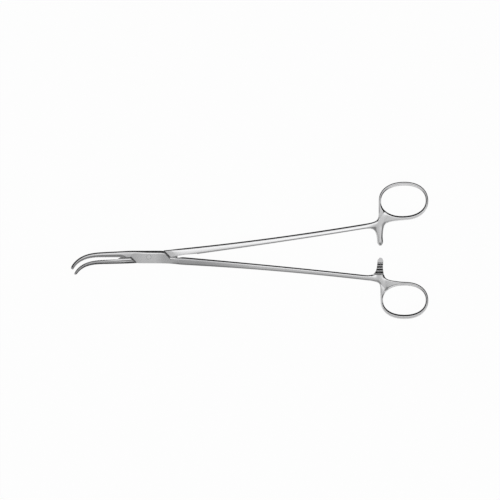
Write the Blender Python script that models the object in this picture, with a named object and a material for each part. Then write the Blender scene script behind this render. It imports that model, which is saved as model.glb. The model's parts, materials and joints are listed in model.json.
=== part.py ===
"""Ligature forceps: a ring-handled clamp with a box lock and in-plane curved, serrated jaws.

Three pieces, as on the bench: the half with the box, the half whose tongue passes through it,
and the flush pin on which the tongue turns. Seen from above (+Z) the jaws point to -X and the
finger rings lie at +X. The pin's axis is the Z axis, and the lower cheek lies on z = 0.
The jaws stand a few degrees open. Sizes below are in millimetres.
"""
import math

import bmesh
import bpy
import numpy as np

MM = 0.001

# Lock
BOX_THICKNESS = 5.2
BOX_HALF_WIDTH = 4.25
SLOT_HEIGHT = 2.2
PIN_RADIUS = 1.5
TONGUE_RADIUS = 3.1
# Each shoulder runs from the crotch between the halves out to the edge of the box
FRONT_SHOULDER = ((-12.0, -0.2), (-7.75, -BOX_HALF_WIDTH - 0.1))
REAR_SHOULDER = ((14.3, -1.21), (9.5, BOX_HALF_WIDTH + 0.04))
SHOULDER_RUN_OUT = 4.0
REAR_WEB_ANGLE = -17.0
FRONT_ARM_END = (-8.1, 0.25 - BOX_HALF_WIDTH)
REAR_ARM_END = (9.9, BOX_HALF_WIDTH - 0.2)
TONGUE_ANCHOR = 3.0
# The tongue's web reaches this far past each shoulder, and into the root of the other jaw or shank
WEB_REACH = 6.8
WEB_RISE = 1.3
REAR_WEB_REACH = 4.8
REAR_WEB_RISE = 0.7
# Width and depth taken off the edges of the shoulders
EDGE_BREAK = 0.45
EDGE_BREAK_DEPTH = 0.38

# Motion, in degrees from the modelled pose
CLOSING_TURN = 3.3
OPENING_TURN = 38.0

# Clearances
SLOT_CLEARANCE = 0.1
PIN_CLEARANCE = 0.05
PARTING_CLEARANCE = 0.1
TONGUE_CLEARANCE = 0.12
RACK_CLEARANCE = 0.05

# Jaws: the line where they meet when closed runs straight from the box, then bends to the tip
MEETING_LINE_Y = FRONT_SHOULDER[0][1]
STRAIGHT_END_X = -30.9
CURVED_LENGTH = 22.6
TIP_BEND = 62.7
BEND_GROWTH = 1.8
BOX_JAW_TIP_DEPTH = 2.0
TONGUE_JAW_TIP_DEPTH = 1.75
JAW_ALLOWANCE = 0.35
BOX_JAW_ROOT_DEPTH = 4.35
TONGUE_JAW_ROOT_DEPTH = 3.6
JAW_TIP_HALF_THICKNESS = 1.05
JAW_ROOT_HALF_THICKNESS = 2.6
SERRATION_PITCH = 1.05
SERRATION_DEPTH = 0.3
SERRATION_COUNT = 24

# Shanks
SHANK_START_X = 20.8
SHANK_ROOT_WIDTH = 5.3
SHANK_END_WIDTH = 3.4
SHANK_TAPER = 2.6
SHANK_HALF_THICKNESS = 1.9
SHANK_ROOT_HALF_THICKNESS = 2.5
CROTCH_SLOPE = 7.3
CROTCH_LENGTH = 9.0

# Ratchet arms
ARM_WIDTH = 3.9
ARM_LEAN = 4.5
ARM_TIP_X = 155.2
BOX_ARM_TIP_Y = -0.8
RATCHET_OVERLAP = 0.3
TOOTH_PITCH = 1.75
TOOTH_DEPTH = 0.5
TOOTH_COUNT = 5
FIRST_TOOTH = 3.3
TOOTH_ROOT = 0.3
TOOTH_LAND = 0.5
RACK_DEPTH = 3.0
RACK_WIDTH = 3.8 * ARM_WIDTH

# Rings and the junction where shank, arm and ring meet
RING_POWER = 2.2
RING_END_BAR = 1.7
RING_SIDE_BAR = 2.65
RING_HALF_THICKNESS = 2.05
HUB_HALF_THICKNESS = 1.95
HUB_CORNER = 0.72
RING_FOOT_SLOPE = 8.0
RING_STEPS = 16
RING_JOIN_WEST = 183.0
RING_JOIN_SOUTH = 265.0
RING_CORNER = 217.0
FILLET_REACH = 6.0

# Main sizes of the handles: how far the shanks' ends stand from the pin and from the middle line
SHANK_END_X = ARM_TIP_X - 11.1
TONGUE_SPREAD = 20.4
BOX_SPREAD = 13.75

EDGE_CREASE = 0.7
FULL_TURN = 360.0

MIDDLE_Z = BOX_THICKNESS / 2
CLOSING = math.radians(CLOSING_TURN)
OPENING = math.radians(OPENING_TURN)

STEEL = (0.74, 0.74, 0.75, 1.0)


class Section:
    """Section of a smoothed bar, one value for each of its two sides: thickness share at the edge,
    thickness share where the bevel ends, and the bevel's width."""

    def __init__(self, edges, crown, bevels):
        self.edges = edges
        self.crown = crown
        self.bevels = bevels


# Handle bars name their outer side first, arms their side towards the jaws
RING_BAR = Section((0.82, 0.68), (1.0, 1.0), (0.65, 1.15))
ARM_BAR = Section((0.72, 0.72), (1.0, 1.0), (0.94, 0.94))
ARM_END = Section((0.8, 0.8), (1.0, 1.0), (0.6, 0.6))
TONGUE_SHANK = Section((0.60, 0.87), (0.91, 1.0), (1.0, 0.68))
BOX_SHANK = Section((0.90, 0.66), (1.0, 0.98), (0.5, 0.95))
# Jaws and lock bars name the side first where the jaws meet
UPPER_JAW = Section((0.50, 0.72), (1.0, 0.93), (1.6, 0.8))
LOWER_JAW = Section((0.86, 0.45), (1.0, 0.95), (1.3, 1.7))
BOX_LOCK = Section((0.95, 0.62), (1.0, 1.0), (0.3, 1.05))
TONGUE_LOCK = Section((0.8, 0.85), (1.0, 1.0), (0.8, 0.6))
BEVEL_LIMIT = 0.42


class Handle:
    """Places of one half's shank, arm and ring. side is +1 above the middle line and -1 below it,
    and every y here counts away from that line."""

    def __init__(self, side, shank_start_y, spread, shank_bow, ring_offset, ring_hole, ring_tilt,
                 ring_shift, shank):
        self.side = side
        self.shank_start = np.array((SHANK_START_X, shank_start_y))
        self.shank_end = np.array((SHANK_END_X, spread))
        self.shank_bow = shank_bow
        self.ring_centre = self.shank_end + ring_offset
        self.ring_hole = ring_hole
        self.ring_tilt = math.radians(ring_tilt)
        self.ring_shift = ring_shift
        self.shank = shank


TONGUE_HANDLE = Handle(1, 3.0, TONGUE_SPREAD, -0.75, (26.3, 17.2), (14.9, 10.2), 2.0, -0.15, TONGUE_SHANK)
BOX_HANDLE = Handle(-1, 2.6, BOX_SPREAD, -0.7, (26.95, 15.15), (14.3, 9.8), 0.0, 0.2, BOX_SHANK)


def turned(point, angle):
    """A plan point turned about the pin."""
    c = math.cos(angle)
    s = math.sin(angle)
    return (point[0] * c - point[1] * s, point[0] * s + point[1] * c)


def on_circle(radius, angle):
    return (radius * math.cos(angle), radius * math.sin(angle))


def blend(a, b, t):
    return a + (b - a) * t


def crossing(point_a, way_a, point_b, way_b):
    """Where two straight lines in the plan cross."""
    matrix = np.array(((way_a[0], -way_b[0]), (way_a[1], -way_b[1])))
    t = np.linalg.solve(matrix, np.array(point_b) - np.array(point_a))[0]
    return np.array(point_a) + t * np.array(way_a)


# Jaw meeting line

def jaw_length():
    return FRONT_SHOULDER[0][0] - STRAIGHT_END_X + CURVED_LENGTH


def meeting_line(distances):
    """Points and normals of the line where the closed jaws meet, at distances from the box.
    The normals point to the back of the jaw of the box half."""
    straight = FRONT_SHOULDER[0][0] - STRAIGHT_END_X
    fine = np.linspace(0, jaw_length() + 4.0, 1200)
    along = np.clip((fine - straight) / CURVED_LENGTH, 0, None)
    turn = math.radians(TIP_BEND) * along ** BEND_GROWTH
    step = fine[1] - fine[0]
    x = FRONT_SHOULDER[0][0] - np.concatenate(((0,), np.cumsum(np.cos((turn[1:] + turn[:-1]) / 2)) * step))
    y = MEETING_LINE_Y - np.concatenate(((0,), np.cumsum(np.sin((turn[1:] + turn[:-1]) / 2)) * step))
    distances = np.asarray(distances, dtype=float)
    turn_at = np.interp(distances, fine, turn)
    points = np.stack((np.interp(distances, fine, x), np.interp(distances, fine, y)), axis=1)
    normals = np.stack((-np.sin(turn_at), np.cos(turn_at)), axis=1)
    return points, normals


def serrated_line(offset):
    """The meeting line with its serrations, moved by offset along its normals."""
    serrated = SERRATION_PITCH * SERRATION_COUNT
    start = jaw_length() - serrated
    teeth = start + SERRATION_PITCH * (np.arange(2 * SERRATION_COUNT + 7) / 2 + 0.25)
    rise = SERRATION_DEPTH / 2 * np.where(np.arange(len(teeth)) % 2 == 0, 1, -1)
    distances = np.concatenate(((0, start), teeth))
    rise = np.concatenate(((0, 0), rise))
    points, normals = meeting_line(distances)
    return points + normals * (rise + offset)[:, None]


def bevel_shares(left, right, bevels):
    """How far across from left to right the two bevels end."""
    width = float(np.linalg.norm(np.array(right) - np.array(left)))
    return min(bevels[0] / width, BEVEL_LIMIT), 1 - min(bevels[1] / width, BEVEL_LIMIT)


# Plan sheets: the cage of a forging is a sheet of quads with a thickness at each point

class Plan:
    """A sheet of quads seen from above. Each point holds x, y and the half thickness there."""

    def __init__(self):
        self.points = []
        self.quads = []

    def point(self, x, y, half):
        self.points.append((x, y, half))
        return len(self.points) - 1

    def row(self, left, right, half, section):
        """Four points across a bar: two edges, and the two lines where its bevels end."""
        left = np.array(left)
        right = np.array(right)
        first, second = bevel_shares(left, right, section.bevels)
        return [
            self.point(*left, half * section.edges[0]),
            self.point(*blend(left, right, first), half * section.crown[0]),
            self.point(*blend(left, right, second), half * section.crown[1]),
            self.point(*right, half * section.edges[1]),
        ]

    def join(self, rows):
        for row_a, row_b in zip(rows, rows[1:]):
            for i in range(len(row_a) - 1):
                self.quads.append((row_a[i], row_a[i + 1], row_b[i + 1], row_b[i]))

    def solid(self, name):
        """The sheet thickened to both sides of the middle plane, walled along its free edges."""
        bm = bmesh.new()
        top = [bm.verts.new((x * MM, y * MM, (MIDDLE_Z + half) * MM)) for x, y, half in self.points]
        low = [bm.verts.new((x * MM, y * MM, (MIDDLE_Z - half) * MM)) for x, y, half in self.points]
        crease = bm.edges.layers.float.new("crease_edge")
        uses = {}
        for quad in self.quads:
            bm.faces.new([top[i] for i in quad])
            bm.faces.new([low[i] for i in reversed(quad)])
            for a, b in zip(quad, quad[1:] + quad[:1]):
                uses.setdefault(frozenset((a, b)), []).append((a, b))
        for edges in uses.values():
            if len(edges) == 1:
                a, b = edges[0]
                bm.faces.new((top[b], top[a], low[a], low[b]))
                bm.edges.get((top[a], top[b]))[crease] = EDGE_CREASE
                bm.edges.get((low[a], low[b]))[crease] = EDGE_CREASE
        bmesh.ops.recalc_face_normals(bm, faces=bm.faces)
        return finished_object(name, bm)


def finished_object(name, bm):
    mesh = bpy.data.meshes.new(name)
    bm.to_mesh(mesh)
    bm.free()
    mesh.shade_smooth()
    result = bpy.data.objects.new(name, mesh)
    bpy.context.collection.objects.link(result)
    return result


def prism(name, outline, low, high):
    """An upright guide solid on a plan outline, between two heights."""
    bm = bmesh.new()
    verts = [bm.verts.new((x * MM, y * MM, low * MM)) for x, y in outline]
    face = bm.faces.new(verts)
    result = bmesh.ops.extrude_face_region(bm, geom=[face])
    raised = [item for item in result["geom"] if isinstance(item, bmesh.types.BMVert)]
    bmesh.ops.translate(bm, verts=raised, vec=(0, 0, (high - low) * MM))
    bmesh.ops.recalc_face_normals(bm, faces=bm.faces)
    return guide(finished_object(name, bm))


def guide(solid):
    solid.hide_render = True
    solid.display_type = "WIRE"
    return solid


def edge_break(name, line, height):
    """A bar with a diamond section along a line in the plan, which takes off an edge there."""
    start = np.array(line[0])
    end = np.array(line[1])
    way = (end - start) / np.linalg.norm(end - start)
    a, b = np.array((way[1], -way[0])) * EDGE_BREAK
    corners = ((a, b, 0), (0, 0, EDGE_BREAK_DEPTH), (-a, -b, 0), (0, 0, -EDGE_BREAK_DEPTH))
    bm = bmesh.new()
    ends = []
    for x, y in (start - way * EDGE_BREAK, end):
        ends.append([bm.verts.new(((x + a) * MM, (y + b) * MM, (height + c) * MM)) for a, b, c in corners])
    for i in range(4):
        bm.faces.new((ends[0][i], ends[0][(i + 1) % 4], ends[1][(i + 1) % 4], ends[1][i]))
    bm.faces.new(ends[0])
    bm.faces.new(ends[1])
    bmesh.ops.recalc_face_normals(bm, faces=bm.faces)
    return guide(finished_object(name, bm))


def bore(name, radius):
    bm = bmesh.new()
    bmesh.ops.create_cone(bm, cap_ends=True, segments=32, radius1=radius * MM, radius2=radius * MM,
                          depth=3 * BOX_THICKNESS * MM)
    bmesh.ops.translate(bm, verts=bm.verts, vec=(0, 0, MIDDLE_Z * MM))
    return guide(finished_object(name, bm))


def add_boolean(solid, operation, tool):
    modifier = solid.modifiers.new(tool.name, "BOOLEAN")
    modifier.operation = operation
    modifier.solver = "EXACT"
    modifier.object = tool


# Outlines in the plan

CUT_MARGIN = 2.0
ABOVE = BOX_THICKNESS + CUT_MARGIN
BELOW = -CUT_MARGIN
FAR = 9.0
OVERLAP = 0.03


def rear_crotch(turn, clearance):
    """The line below the tongue half's shank at the lock: shoulder foot, then along the crotch."""
    slope = math.radians(CROTCH_SLOPE)
    foot = REAR_SHOULDER[0]
    end = (foot[0] + CROTCH_LENGTH, foot[1] + CROTCH_LENGTH * math.tan(slope))
    return [turned((x, y + clearance), turn) for x, y in (foot, end)]


def shoulder_line(shoulder, turn, clearance):
    """A shoulder moved away from the pin by the clearance, its outer end run on past the forging."""
    inner = np.array(shoulder[0])
    outer = np.array(shoulder[1])
    way = (outer - inner) / np.linalg.norm(outer - inner)
    normal = np.array((way[1], -way[0]))
    if np.dot(normal, inner) < 0:
        normal = -normal
    inner = inner + normal * clearance
    outer = outer + normal * clearance + way * SHOULDER_RUN_OUT
    return turned(inner, turn), turned(outer, turn)


def box_half_front_cut():
    """Everything on the other jaw's side of the meeting line, down to the front shoulder."""
    jaw = [tuple(p) for p in serrated_line(0.0)]
    outer = shoulder_line(FRONT_SHOULDER, 0, 0)[1]
    return jaw + [(jaw[-1][0] + 1.0, -3 * FAR), (outer[0], -3 * FAR), outer]


def box_half_rear_cut():
    """Everything on the other shank's side of the rear shoulder and the crotch."""
    outer = shoulder_line(REAR_SHOULDER, 0, 0)[1]
    foot, end = rear_crotch(0, 0)
    return [outer, foot, end, (end[0], 2 * FAR), (outer[0], 2 * FAR)]


def tongue_half_cut():
    """The space of the box half, turned back from the closed pose, with the parting clearance."""
    jaw = [turned(p, CLOSING) for p in serrated_line(-PARTING_CLEARANCE)]
    front_inner, front_outer = shoulder_line(FRONT_SHOULDER, CLOSING, PARTING_CLEARANCE)
    rear_outer = shoulder_line(REAR_SHOULDER, CLOSING, PARTING_CLEARANCE)[1]
    foot, end = rear_crotch(CLOSING, PARTING_CLEARANCE)
    front_way = np.array(front_outer) - np.array(front_inner)
    corner = crossing(jaw[0], (1.0, math.tan(CLOSING)), front_inner, front_way)
    behind = (end[0] + FAR, end[1] + 0.8)
    before = (jaw[-1][0] - FAR, jaw[-1][1])
    outline = [tuple(corner), front_outer, (front_outer[0], -2 * FAR), (behind[0], -2 * FAR), behind]
    outline += [end, foot, rear_outer, (rear_outer[0], 2 * FAR), (before[0], 2 * FAR), before]
    return outline + list(reversed(jaw[1:]))


def arm_edge(end, turn, radius, sign):
    """A tongue arm's edge that runs tangent to the tongue's disc: tangent point and heading."""
    distance = math.hypot(*end)
    heading = math.atan2(end[1], end[0]) + sign * math.asin(TONGUE_RADIUS / distance) + turn
    return on_circle(radius, heading - sign * math.pi / 2), heading


def arc(radius, start, end, steps):
    return [on_circle(radius, blend(start, end, i / steps)) for i in range(steps + 1)]


def tongue_outline():
    """The tongue at rest: a disc round the pin with one arm into the jaw and one into the shank."""
    front_tangent = arm_edge(FRONT_ARM_END, 0, TONGUE_RADIUS, -1)[0]
    rear_tangent = arm_edge(REAR_ARM_END, 0, TONGUE_RADIUS, -1)[0]
    margin = TONGUE_CLEARANCE + OVERLAP
    web_y = MEETING_LINE_Y + WEB_RISE - margin
    front_angle = math.pi + math.asin(-web_y / TONGUE_RADIUS) + CLOSING
    rear_angle = math.radians(REAR_WEB_ANGLE) + margin / TONGUE_RADIUS + CLOSING
    web_end = FRONT_SHOULDER[0][0] - WEB_REACH
    front_far = turned((web_end + TONGUE_CLEARANCE, web_y), CLOSING)
    front_foot = turned((web_end, MEETING_LINE_Y - 1.0), CLOSING)
    rear_end = REAR_SHOULDER[0][0] + REAR_WEB_REACH
    foot = turned((rear_end, REAR_SHOULDER[0][1] - REAR_WEB_RISE + margin), CLOSING)
    foot_top = turned((rear_end, REAR_SHOULDER[0][1] + REAR_WEB_RISE), CLOSING)
    outline = arc(TONGUE_RADIUS, math.atan2(rear_tangent[1], rear_tangent[0]), front_angle, 8)
    outline += [front_far, front_foot]
    outline += [(FRONT_ARM_END[0] - TONGUE_ANCHOR, FRONT_ARM_END[1] + 0.5), FRONT_ARM_END]
    outline += arc(TONGUE_RADIUS, math.atan2(front_tangent[1], front_tangent[0]), rear_angle, 8)
    outline += [foot, foot_top, (foot_top[0] + 1.0, foot_top[1] + 2.0)]
    outline += [(REAR_ARM_END[0] + TONGUE_ANCHOR, REAR_ARM_END[1] + 0.15), REAR_ARM_END]
    return outline


def slot_outline():
    """The slot through the box: the tongue's sweep from closed to the opening stops."""
    radius = TONGUE_RADIUS + TONGUE_CLEARANCE
    rear_stop, rear_heading = arm_edge(REAR_ARM_END, OPENING, radius, -1)
    front_stop, front_heading = arm_edge(FRONT_ARM_END, OPENING, radius, -1)
    web_y = MEETING_LINE_Y + WEB_RISE - OVERLAP
    front_angle = math.pi + math.asin(-web_y / radius)
    rear_angle = math.radians(REAR_WEB_ANGLE)
    foot_x = REAR_SHOULDER[0][0] + REAR_WEB_REACH + 2 * TONGUE_CLEARANCE
    foot = (foot_x, REAR_SHOULDER[0][1] - REAR_WEB_RISE + OVERLAP)
    front_x = FRONT_SHOULDER[0][0] - WEB_REACH - TONGUE_CLEARANCE
    stop_run = 2 * TONGUE_RADIUS
    rear_out = np.array(rear_stop) + stop_run * np.array(on_circle(1, rear_heading))
    front_out = np.array(front_stop) + stop_run * np.array(on_circle(1, front_heading))
    outline = arc(radius, math.atan2(rear_stop[1], rear_stop[0]), front_angle, 6)
    outline += [(front_x, web_y), (front_x, -FAR), (front_out[0], -FAR), tuple(front_out)]
    outline += arc(radius, math.atan2(front_stop[1], front_stop[0]), rear_angle, 4)
    outline += [foot, (foot[0], FAR), (rear_out[0], FAR), tuple(rear_out)]
    return outline


# Cage rows along jaw, lock and shank

def jaw_rows(plan, side):
    """Rows from the tip to the lock. The left point is on the meeting side, left uncut."""
    length = jaw_length()
    to_tip = np.array((-0.35, 0.5, 2.6, 5.2, 7.8, 10.6, 13.6, 17.0, 21.0, 26.0, 31.5, 36.5))
    points, normals = meeting_line(length - to_tip)
    if side > 0:
        points = np.array([turned(p, CLOSING) for p in points])
        normals = -np.array([turned(n, CLOSING) for n in normals])
        tip_depth = TONGUE_JAW_TIP_DEPTH
        root_depth = TONGUE_JAW_ROOT_DEPTH
        section = LOWER_JAW
    else:
        tip_depth = BOX_JAW_TIP_DEPTH
        root_depth = BOX_JAW_ROOT_DEPTH
        section = UPPER_JAW
    rows = []
    for distance, point, normal in zip(to_tip, points, normals):
        share = (max(distance, 0.0) / length) ** 0.78
        depth = blend(tip_depth, root_depth, share)
        half = blend(JAW_TIP_HALF_THICKNESS, JAW_ROOT_HALF_THICKNESS, share)
        front = point - normal * JAW_ALLOWANCE
        back = point + normal * depth
        if distance < 0:
            middle = blend(front, back, 0.5)
            front = blend(front, middle, 0.3)
            back = blend(back, middle, 0.3)
            half = half * 0.7
        rows.append(plan.row(front, back, half, section))
    return rows


def lock_rows(plan, side):
    """Rows through the lock, drawn full: the cuts give it its shoulders and slot.
    Each station is x, first edge, second edge, half thickness and section."""
    full = MIDDLE_Z + 0.08
    w = BOX_HALF_WIDTH
    if side > 0:
        stations = (
            (-11.5, -0.4, -w - 0.15, MIDDLE_Z, LOWER_JAW),
            (-7.5, 0.2, -w, full, LOWER_JAW),
            (0.0, 3.0, -3.0, full, TONGUE_LOCK),
            (7.0, w, -1.2, full, TONGUE_LOCK),
            (12.0, w + 0.3, -1.4, full, TONGUE_LOCK),
            (16.0, w + 0.8, -1.4, full, TONGUE_LOCK),
        )
    else:
        stations = (
            (-12.5, -3.0, w, MIDDLE_Z, BOX_LOCK),
            (-9.0, -w, w, full, BOX_LOCK),
            (-2.0, -w, w, full, BOX_LOCK),
            (6.0, -w, w, full, BOX_LOCK),
            (11.5, -w - 0.1, w, full, BOX_LOCK),
            (15.0, -w - 0.3, 1.2, full, BOX_LOCK),
            (18.0, -w - 0.55, -0.1, 2.55, BOX_SHANK),
        )
    return [plan.row((x, a), (x, b), half, section) for x, a, b, half, section in stations]


def shank_line(handle, share):
    """Centre of the shank, and its left normal, as y counts away from the middle line."""
    chord = handle.shank_end - handle.shank_start
    normal = np.array((-chord[1], chord[0])) / np.linalg.norm(chord)
    centre = handle.shank_start + chord * share + normal * handle.shank_bow * 4 * share * (1 - share)
    way = chord + normal * handle.shank_bow * 4 * (1 - 2 * share)
    way = way / np.linalg.norm(way)
    return centre, way, np.array((-way[1], way[0]))


def shank_rows(plan, handle):
    rows = []
    for share in (0.0, 0.07, 0.16, 0.3, 0.46, 0.62, 0.78, 0.9, 1.0):
        centre, way, normal = shank_line(handle, share)
        width = blend(SHANK_END_WIDTH, SHANK_ROOT_WIDTH, (1 - share) ** SHANK_TAPER)
        half = blend(SHANK_HALF_THICKNESS, SHANK_ROOT_HALF_THICKNESS, (1 - share) ** 5)
        outer = centre + normal * width / 2
        inner = centre - normal * width / 2
        rows.append(handle_row(plan, handle, outer, inner, half, handle.shank))
    return rows


# Handle: junction, ratchet arm and ring

def handle_row(plan, handle, left, right, half, section):
    flip = np.array((1, handle.side))
    return plan.row(np.array(left) * flip, np.array(right) * flip, half, section)


def junction_rows(plan, handle, south_west, north_west, south_east, north_east):
    """The quad where shank, arm and ring meet, with the bevels of the bars that join it."""
    shank = handle.shank
    west_bevels = (shank.bevels[1], shank.bevels[0])
    west = (0.0, *bevel_shares(south_west, north_west, west_bevels), 1.0)
    east = (0.0, *bevel_shares(south_east, north_east, RING_BAR.bevels), 1.0)
    rows = []
    for u, (low, high) in enumerate(zip(west, east)):
        start = blend(south_west, north_west, low)
        end = blend(south_east, north_east, high)
        bevels = blend(np.array(ARM_BAR.bevels), np.array(RING_BAR.bevels), u / 3)
        row = []
        for v, share in enumerate((0.0, *bevel_shares(start, end, bevels), 1.0)):
            x, y = blend(start, end, share)
            corner = u in (0, 3) and v in (0, 3)
            half = HUB_HALF_THICKNESS * (HUB_CORNER if corner else 1.0)
            row.append(plan.point(x, y * handle.side, half))
        rows.append(row)
    return rows


def ring_point(handle, degrees, hole, curved=True):
    """A point on the ring's hole or outer edge, drawn out so that the smoothed edge lies on it.
    Where a straight stretch starts, the smoothing doesn't pull the edge in."""
    step = math.radians((FULL_TURN + RING_JOIN_WEST - RING_JOIN_SOUTH) / RING_STEPS)
    growth = 3 / (2 + math.cos(step)) if curved else 1.0
    a, b = handle.ring_hole
    if not hole:
        a = a + RING_END_BAR
        b = b + RING_SIDE_BAR
    angle = math.radians(degrees)
    c = math.cos(angle)
    s = math.sin(angle)
    x = a * growth * math.copysign(abs(c) ** (2 / RING_POWER), c)
    y = b * growth * math.copysign(abs(s) ** (2 / RING_POWER), s)
    centre = handle.ring_centre + (0, 0 if hole else handle.ring_shift)
    return centre + np.array(turned((x, y), handle.ring_tilt))


def arm_tip(handle):
    """Middle of the ratchet arm's end: the arms overlap by the ratchet's overlap when closed."""
    if handle.side > 0:
        return np.array(turned((ARM_TIP_X, BOX_ARM_TIP_Y - RATCHET_OVERLAP), CLOSING))
    return np.array((ARM_TIP_X, -BOX_ARM_TIP_Y))


def build_handle(plan, handle, last_row):
    """Junction, arm and ring. The junction is a quad whose sides take the four bars."""
    end, way, normal = shank_line(handle, 1.0)
    outer_edge = end + normal * SHANK_END_WIDTH / 2
    inner_edge = end - normal * SHANK_END_WIDTH / 2
    tip = arm_tip(handle)
    lean = math.radians(ARM_LEAN)
    down = np.array((math.sin(lean), -math.cos(lean)))
    across = np.array((-down[1], down[0]))
    arm_left = tip - across * ARM_WIDTH / 2
    arm_right = tip + across * ARM_WIDTH / 2
    side_top = ring_point(handle, RING_JOIN_WEST, False, curved=False)
    foot_end = ring_point(handle, RING_JOIN_SOUTH, False, curved=False)
    foot_way = (math.cos(math.radians(RING_FOOT_SLOPE)), math.sin(math.radians(RING_FOOT_SLOPE)))

    north_west = crossing(outer_edge, way, side_top, (0, 1))
    south_west = crossing(inner_edge, way, arm_left, down)
    south_east = crossing(arm_right, down, foot_end, foot_way)
    north_east = ring_point(handle, RING_CORNER, True)

    junction = junction_rows(plan, handle, south_west, north_west, south_east, north_east)
    plan.join(junction)

    near_outer = north_west - way * FILLET_REACH
    near_inner = south_west - way * FILLET_REACH
    near = handle_row(plan, handle, near_outer, near_inner, HUB_HALF_THICKNESS, handle.shank)
    plan.join([last_row, near, [line[0] for line in reversed(junction)]])

    arm = [junction[0]]
    reach = float(np.dot(tip - south_west, down))
    for share in (FILLET_REACH / reach, 0.62, 0.8, 1.0):
        setback = 0.9 if share == 1.0 else 0.0
        left = blend(south_west, arm_left, share) - down * setback
        right = arm_right - down * ((1 - share) * reach + setback)
        arm.append(handle_row(plan, handle, left, right, HUB_HALF_THICKNESS, ARM_BAR))
    round_end = across * 0.8 + down * 0.15
    left = arm_left + round_end
    right = arm_right + round_end - 2 * across * 0.8
    arm.append(handle_row(plan, handle, left, right, HUB_HALF_THICKNESS * 0.85, ARM_END))
    plan.join(arm)

    ring = [junction[3]]
    for share in (1 / 3, 2 / 3):
        outer = blend(north_west, side_top, share)
        inner = ring_point(handle, blend(RING_CORNER, RING_JOIN_WEST, share), True)
        ring.append(handle_row(plan, handle, outer, inner, RING_HALF_THICKNESS, RING_BAR))
    for i in range(RING_STEPS + 1):
        degrees = blend(RING_JOIN_WEST, RING_JOIN_SOUTH - FULL_TURN, i / RING_STEPS)
        outer = ring_point(handle, degrees, False, curved=0 < i < RING_STEPS)
        inner = ring_point(handle, degrees, True)
        ring.append(handle_row(plan, handle, outer, inner, RING_HALF_THICKNESS, RING_BAR))
    for share in (2 / 3, 1 / 3):
        outer = blend(south_east, foot_end, share)
        inner = ring_point(handle, blend(RING_CORNER, RING_JOIN_SOUTH, share), True)
        ring.append(handle_row(plan, handle, outer, inner, RING_HALF_THICKNESS, RING_BAR))
    ring.append([line[3] for line in junction])
    plan.join(ring)


# Solids

def rack(name, handle):
    """The cut that leaves half the arm's thickness, with the ratchet's teeth across it."""
    tip_y = float(arm_tip(handle)[1])
    face = -RACK_CLEARANCE
    root = face - TOOTH_DEPTH
    first = tip_y + FIRST_TOOTH
    profile = [(tip_y - RACK_DEPTH, RACK_DEPTH), (tip_y - RACK_DEPTH, face), (first - TOOTH_LAND, face)]
    for i in range(TOOTH_COUNT):
        start = first + i * TOOTH_PITCH
        profile.append((start, root))
        profile.append((start + TOOTH_ROOT, root))
        profile.append((start + TOOTH_PITCH - TOOTH_LAND, face if i < TOOTH_COUNT - 1 else RACK_DEPTH))
    bm = bmesh.new()
    low_x = ARM_TIP_X - RACK_WIDTH / 2
    verts = []
    for y, z in profile:
        height = MIDDLE_Z + handle.side * -z
        verts.append(bm.verts.new((low_x * MM, y * handle.side * MM, height * MM)))
    face_verts = bm.faces.new(verts)
    result = bmesh.ops.extrude_face_region(bm, geom=[face_verts])
    moved = [item for item in result["geom"] if isinstance(item, bmesh.types.BMVert)]
    bmesh.ops.translate(bm, verts=moved, vec=(RACK_WIDTH * MM, 0, 0))
    bmesh.ops.recalc_face_normals(bm, faces=bm.faces)
    return guide(finished_object(name, bm))


def forging(name, handle):
    """The uncut forging of one half: one smoothed cage from jaw tip to finger ring."""
    plan = Plan()
    rows = jaw_rows(plan, handle.side) + lock_rows(plan, handle.side) + shank_rows(plan, handle)
    plan.join(rows)
    build_handle(plan, handle, rows[-1])
    solid = plan.solid(name)
    smooth = solid.modifiers.new("smooth", "SUBSURF")
    smooth.levels = 1
    smooth.render_levels = 1
    return solid


def break_shoulder_edges(solid, turn):
    """The edges of both shoulders, on both faces of the lock."""
    for name, shoulder in (("front", FRONT_SHOULDER), ("rear", REAR_SHOULDER)):
        line = shoulder_line(shoulder, turn, 0)
        for face, height in (("upper", BOX_THICKNESS), ("lower", 0.0)):
            add_boolean(solid, "DIFFERENCE", edge_break(f"{solid.name}_{name}_{face}_edge", line, height))


def make_box_half(material):
    solid = forging("box_half", BOX_HANDLE)
    slot_low = MIDDLE_Z - SLOT_HEIGHT / 2
    slot_high = MIDDLE_Z + SLOT_HEIGHT / 2
    add_boolean(solid, "DIFFERENCE", prism("box_front_cut", box_half_front_cut(), BELOW, ABOVE))
    add_boolean(solid, "DIFFERENCE", prism("box_rear_cut", box_half_rear_cut(), BELOW, ABOVE))
    add_boolean(solid, "DIFFERENCE", prism("slot", slot_outline(), slot_low, slot_high))
    add_boolean(solid, "DIFFERENCE", bore("box_bore", PIN_RADIUS + PIN_CLEARANCE))
    add_boolean(solid, "DIFFERENCE", rack("box_rack", BOX_HANDLE))
    add_boolean(solid, "INTERSECT", ground_faces("box_faces"))
    break_shoulder_edges(solid, 0)
    solid.data.materials.append(material)
    return solid


def make_tongue_half(material):
    solid = forging("tongue_half", TONGUE_HANDLE)
    tongue_low = MIDDLE_Z - SLOT_HEIGHT / 2 + SLOT_CLEARANCE
    tongue_high = MIDDLE_Z + SLOT_HEIGHT / 2 - SLOT_CLEARANCE
    add_boolean(solid, "DIFFERENCE", prism("tongue_half_cut", tongue_half_cut(), BELOW, ABOVE))
    add_boolean(solid, "UNION", prism("tongue", tongue_outline(), tongue_low, tongue_high))
    add_boolean(solid, "DIFFERENCE", bore("tongue_bore", PIN_RADIUS + PIN_CLEARANCE))
    add_boolean(solid, "DIFFERENCE", rack("tongue_rack", TONGUE_HANDLE))
    add_boolean(solid, "INTERSECT", ground_faces("tongue_faces"))
    break_shoulder_edges(solid, CLOSING)
    solid.data.materials.append(material)
    return solid


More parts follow.
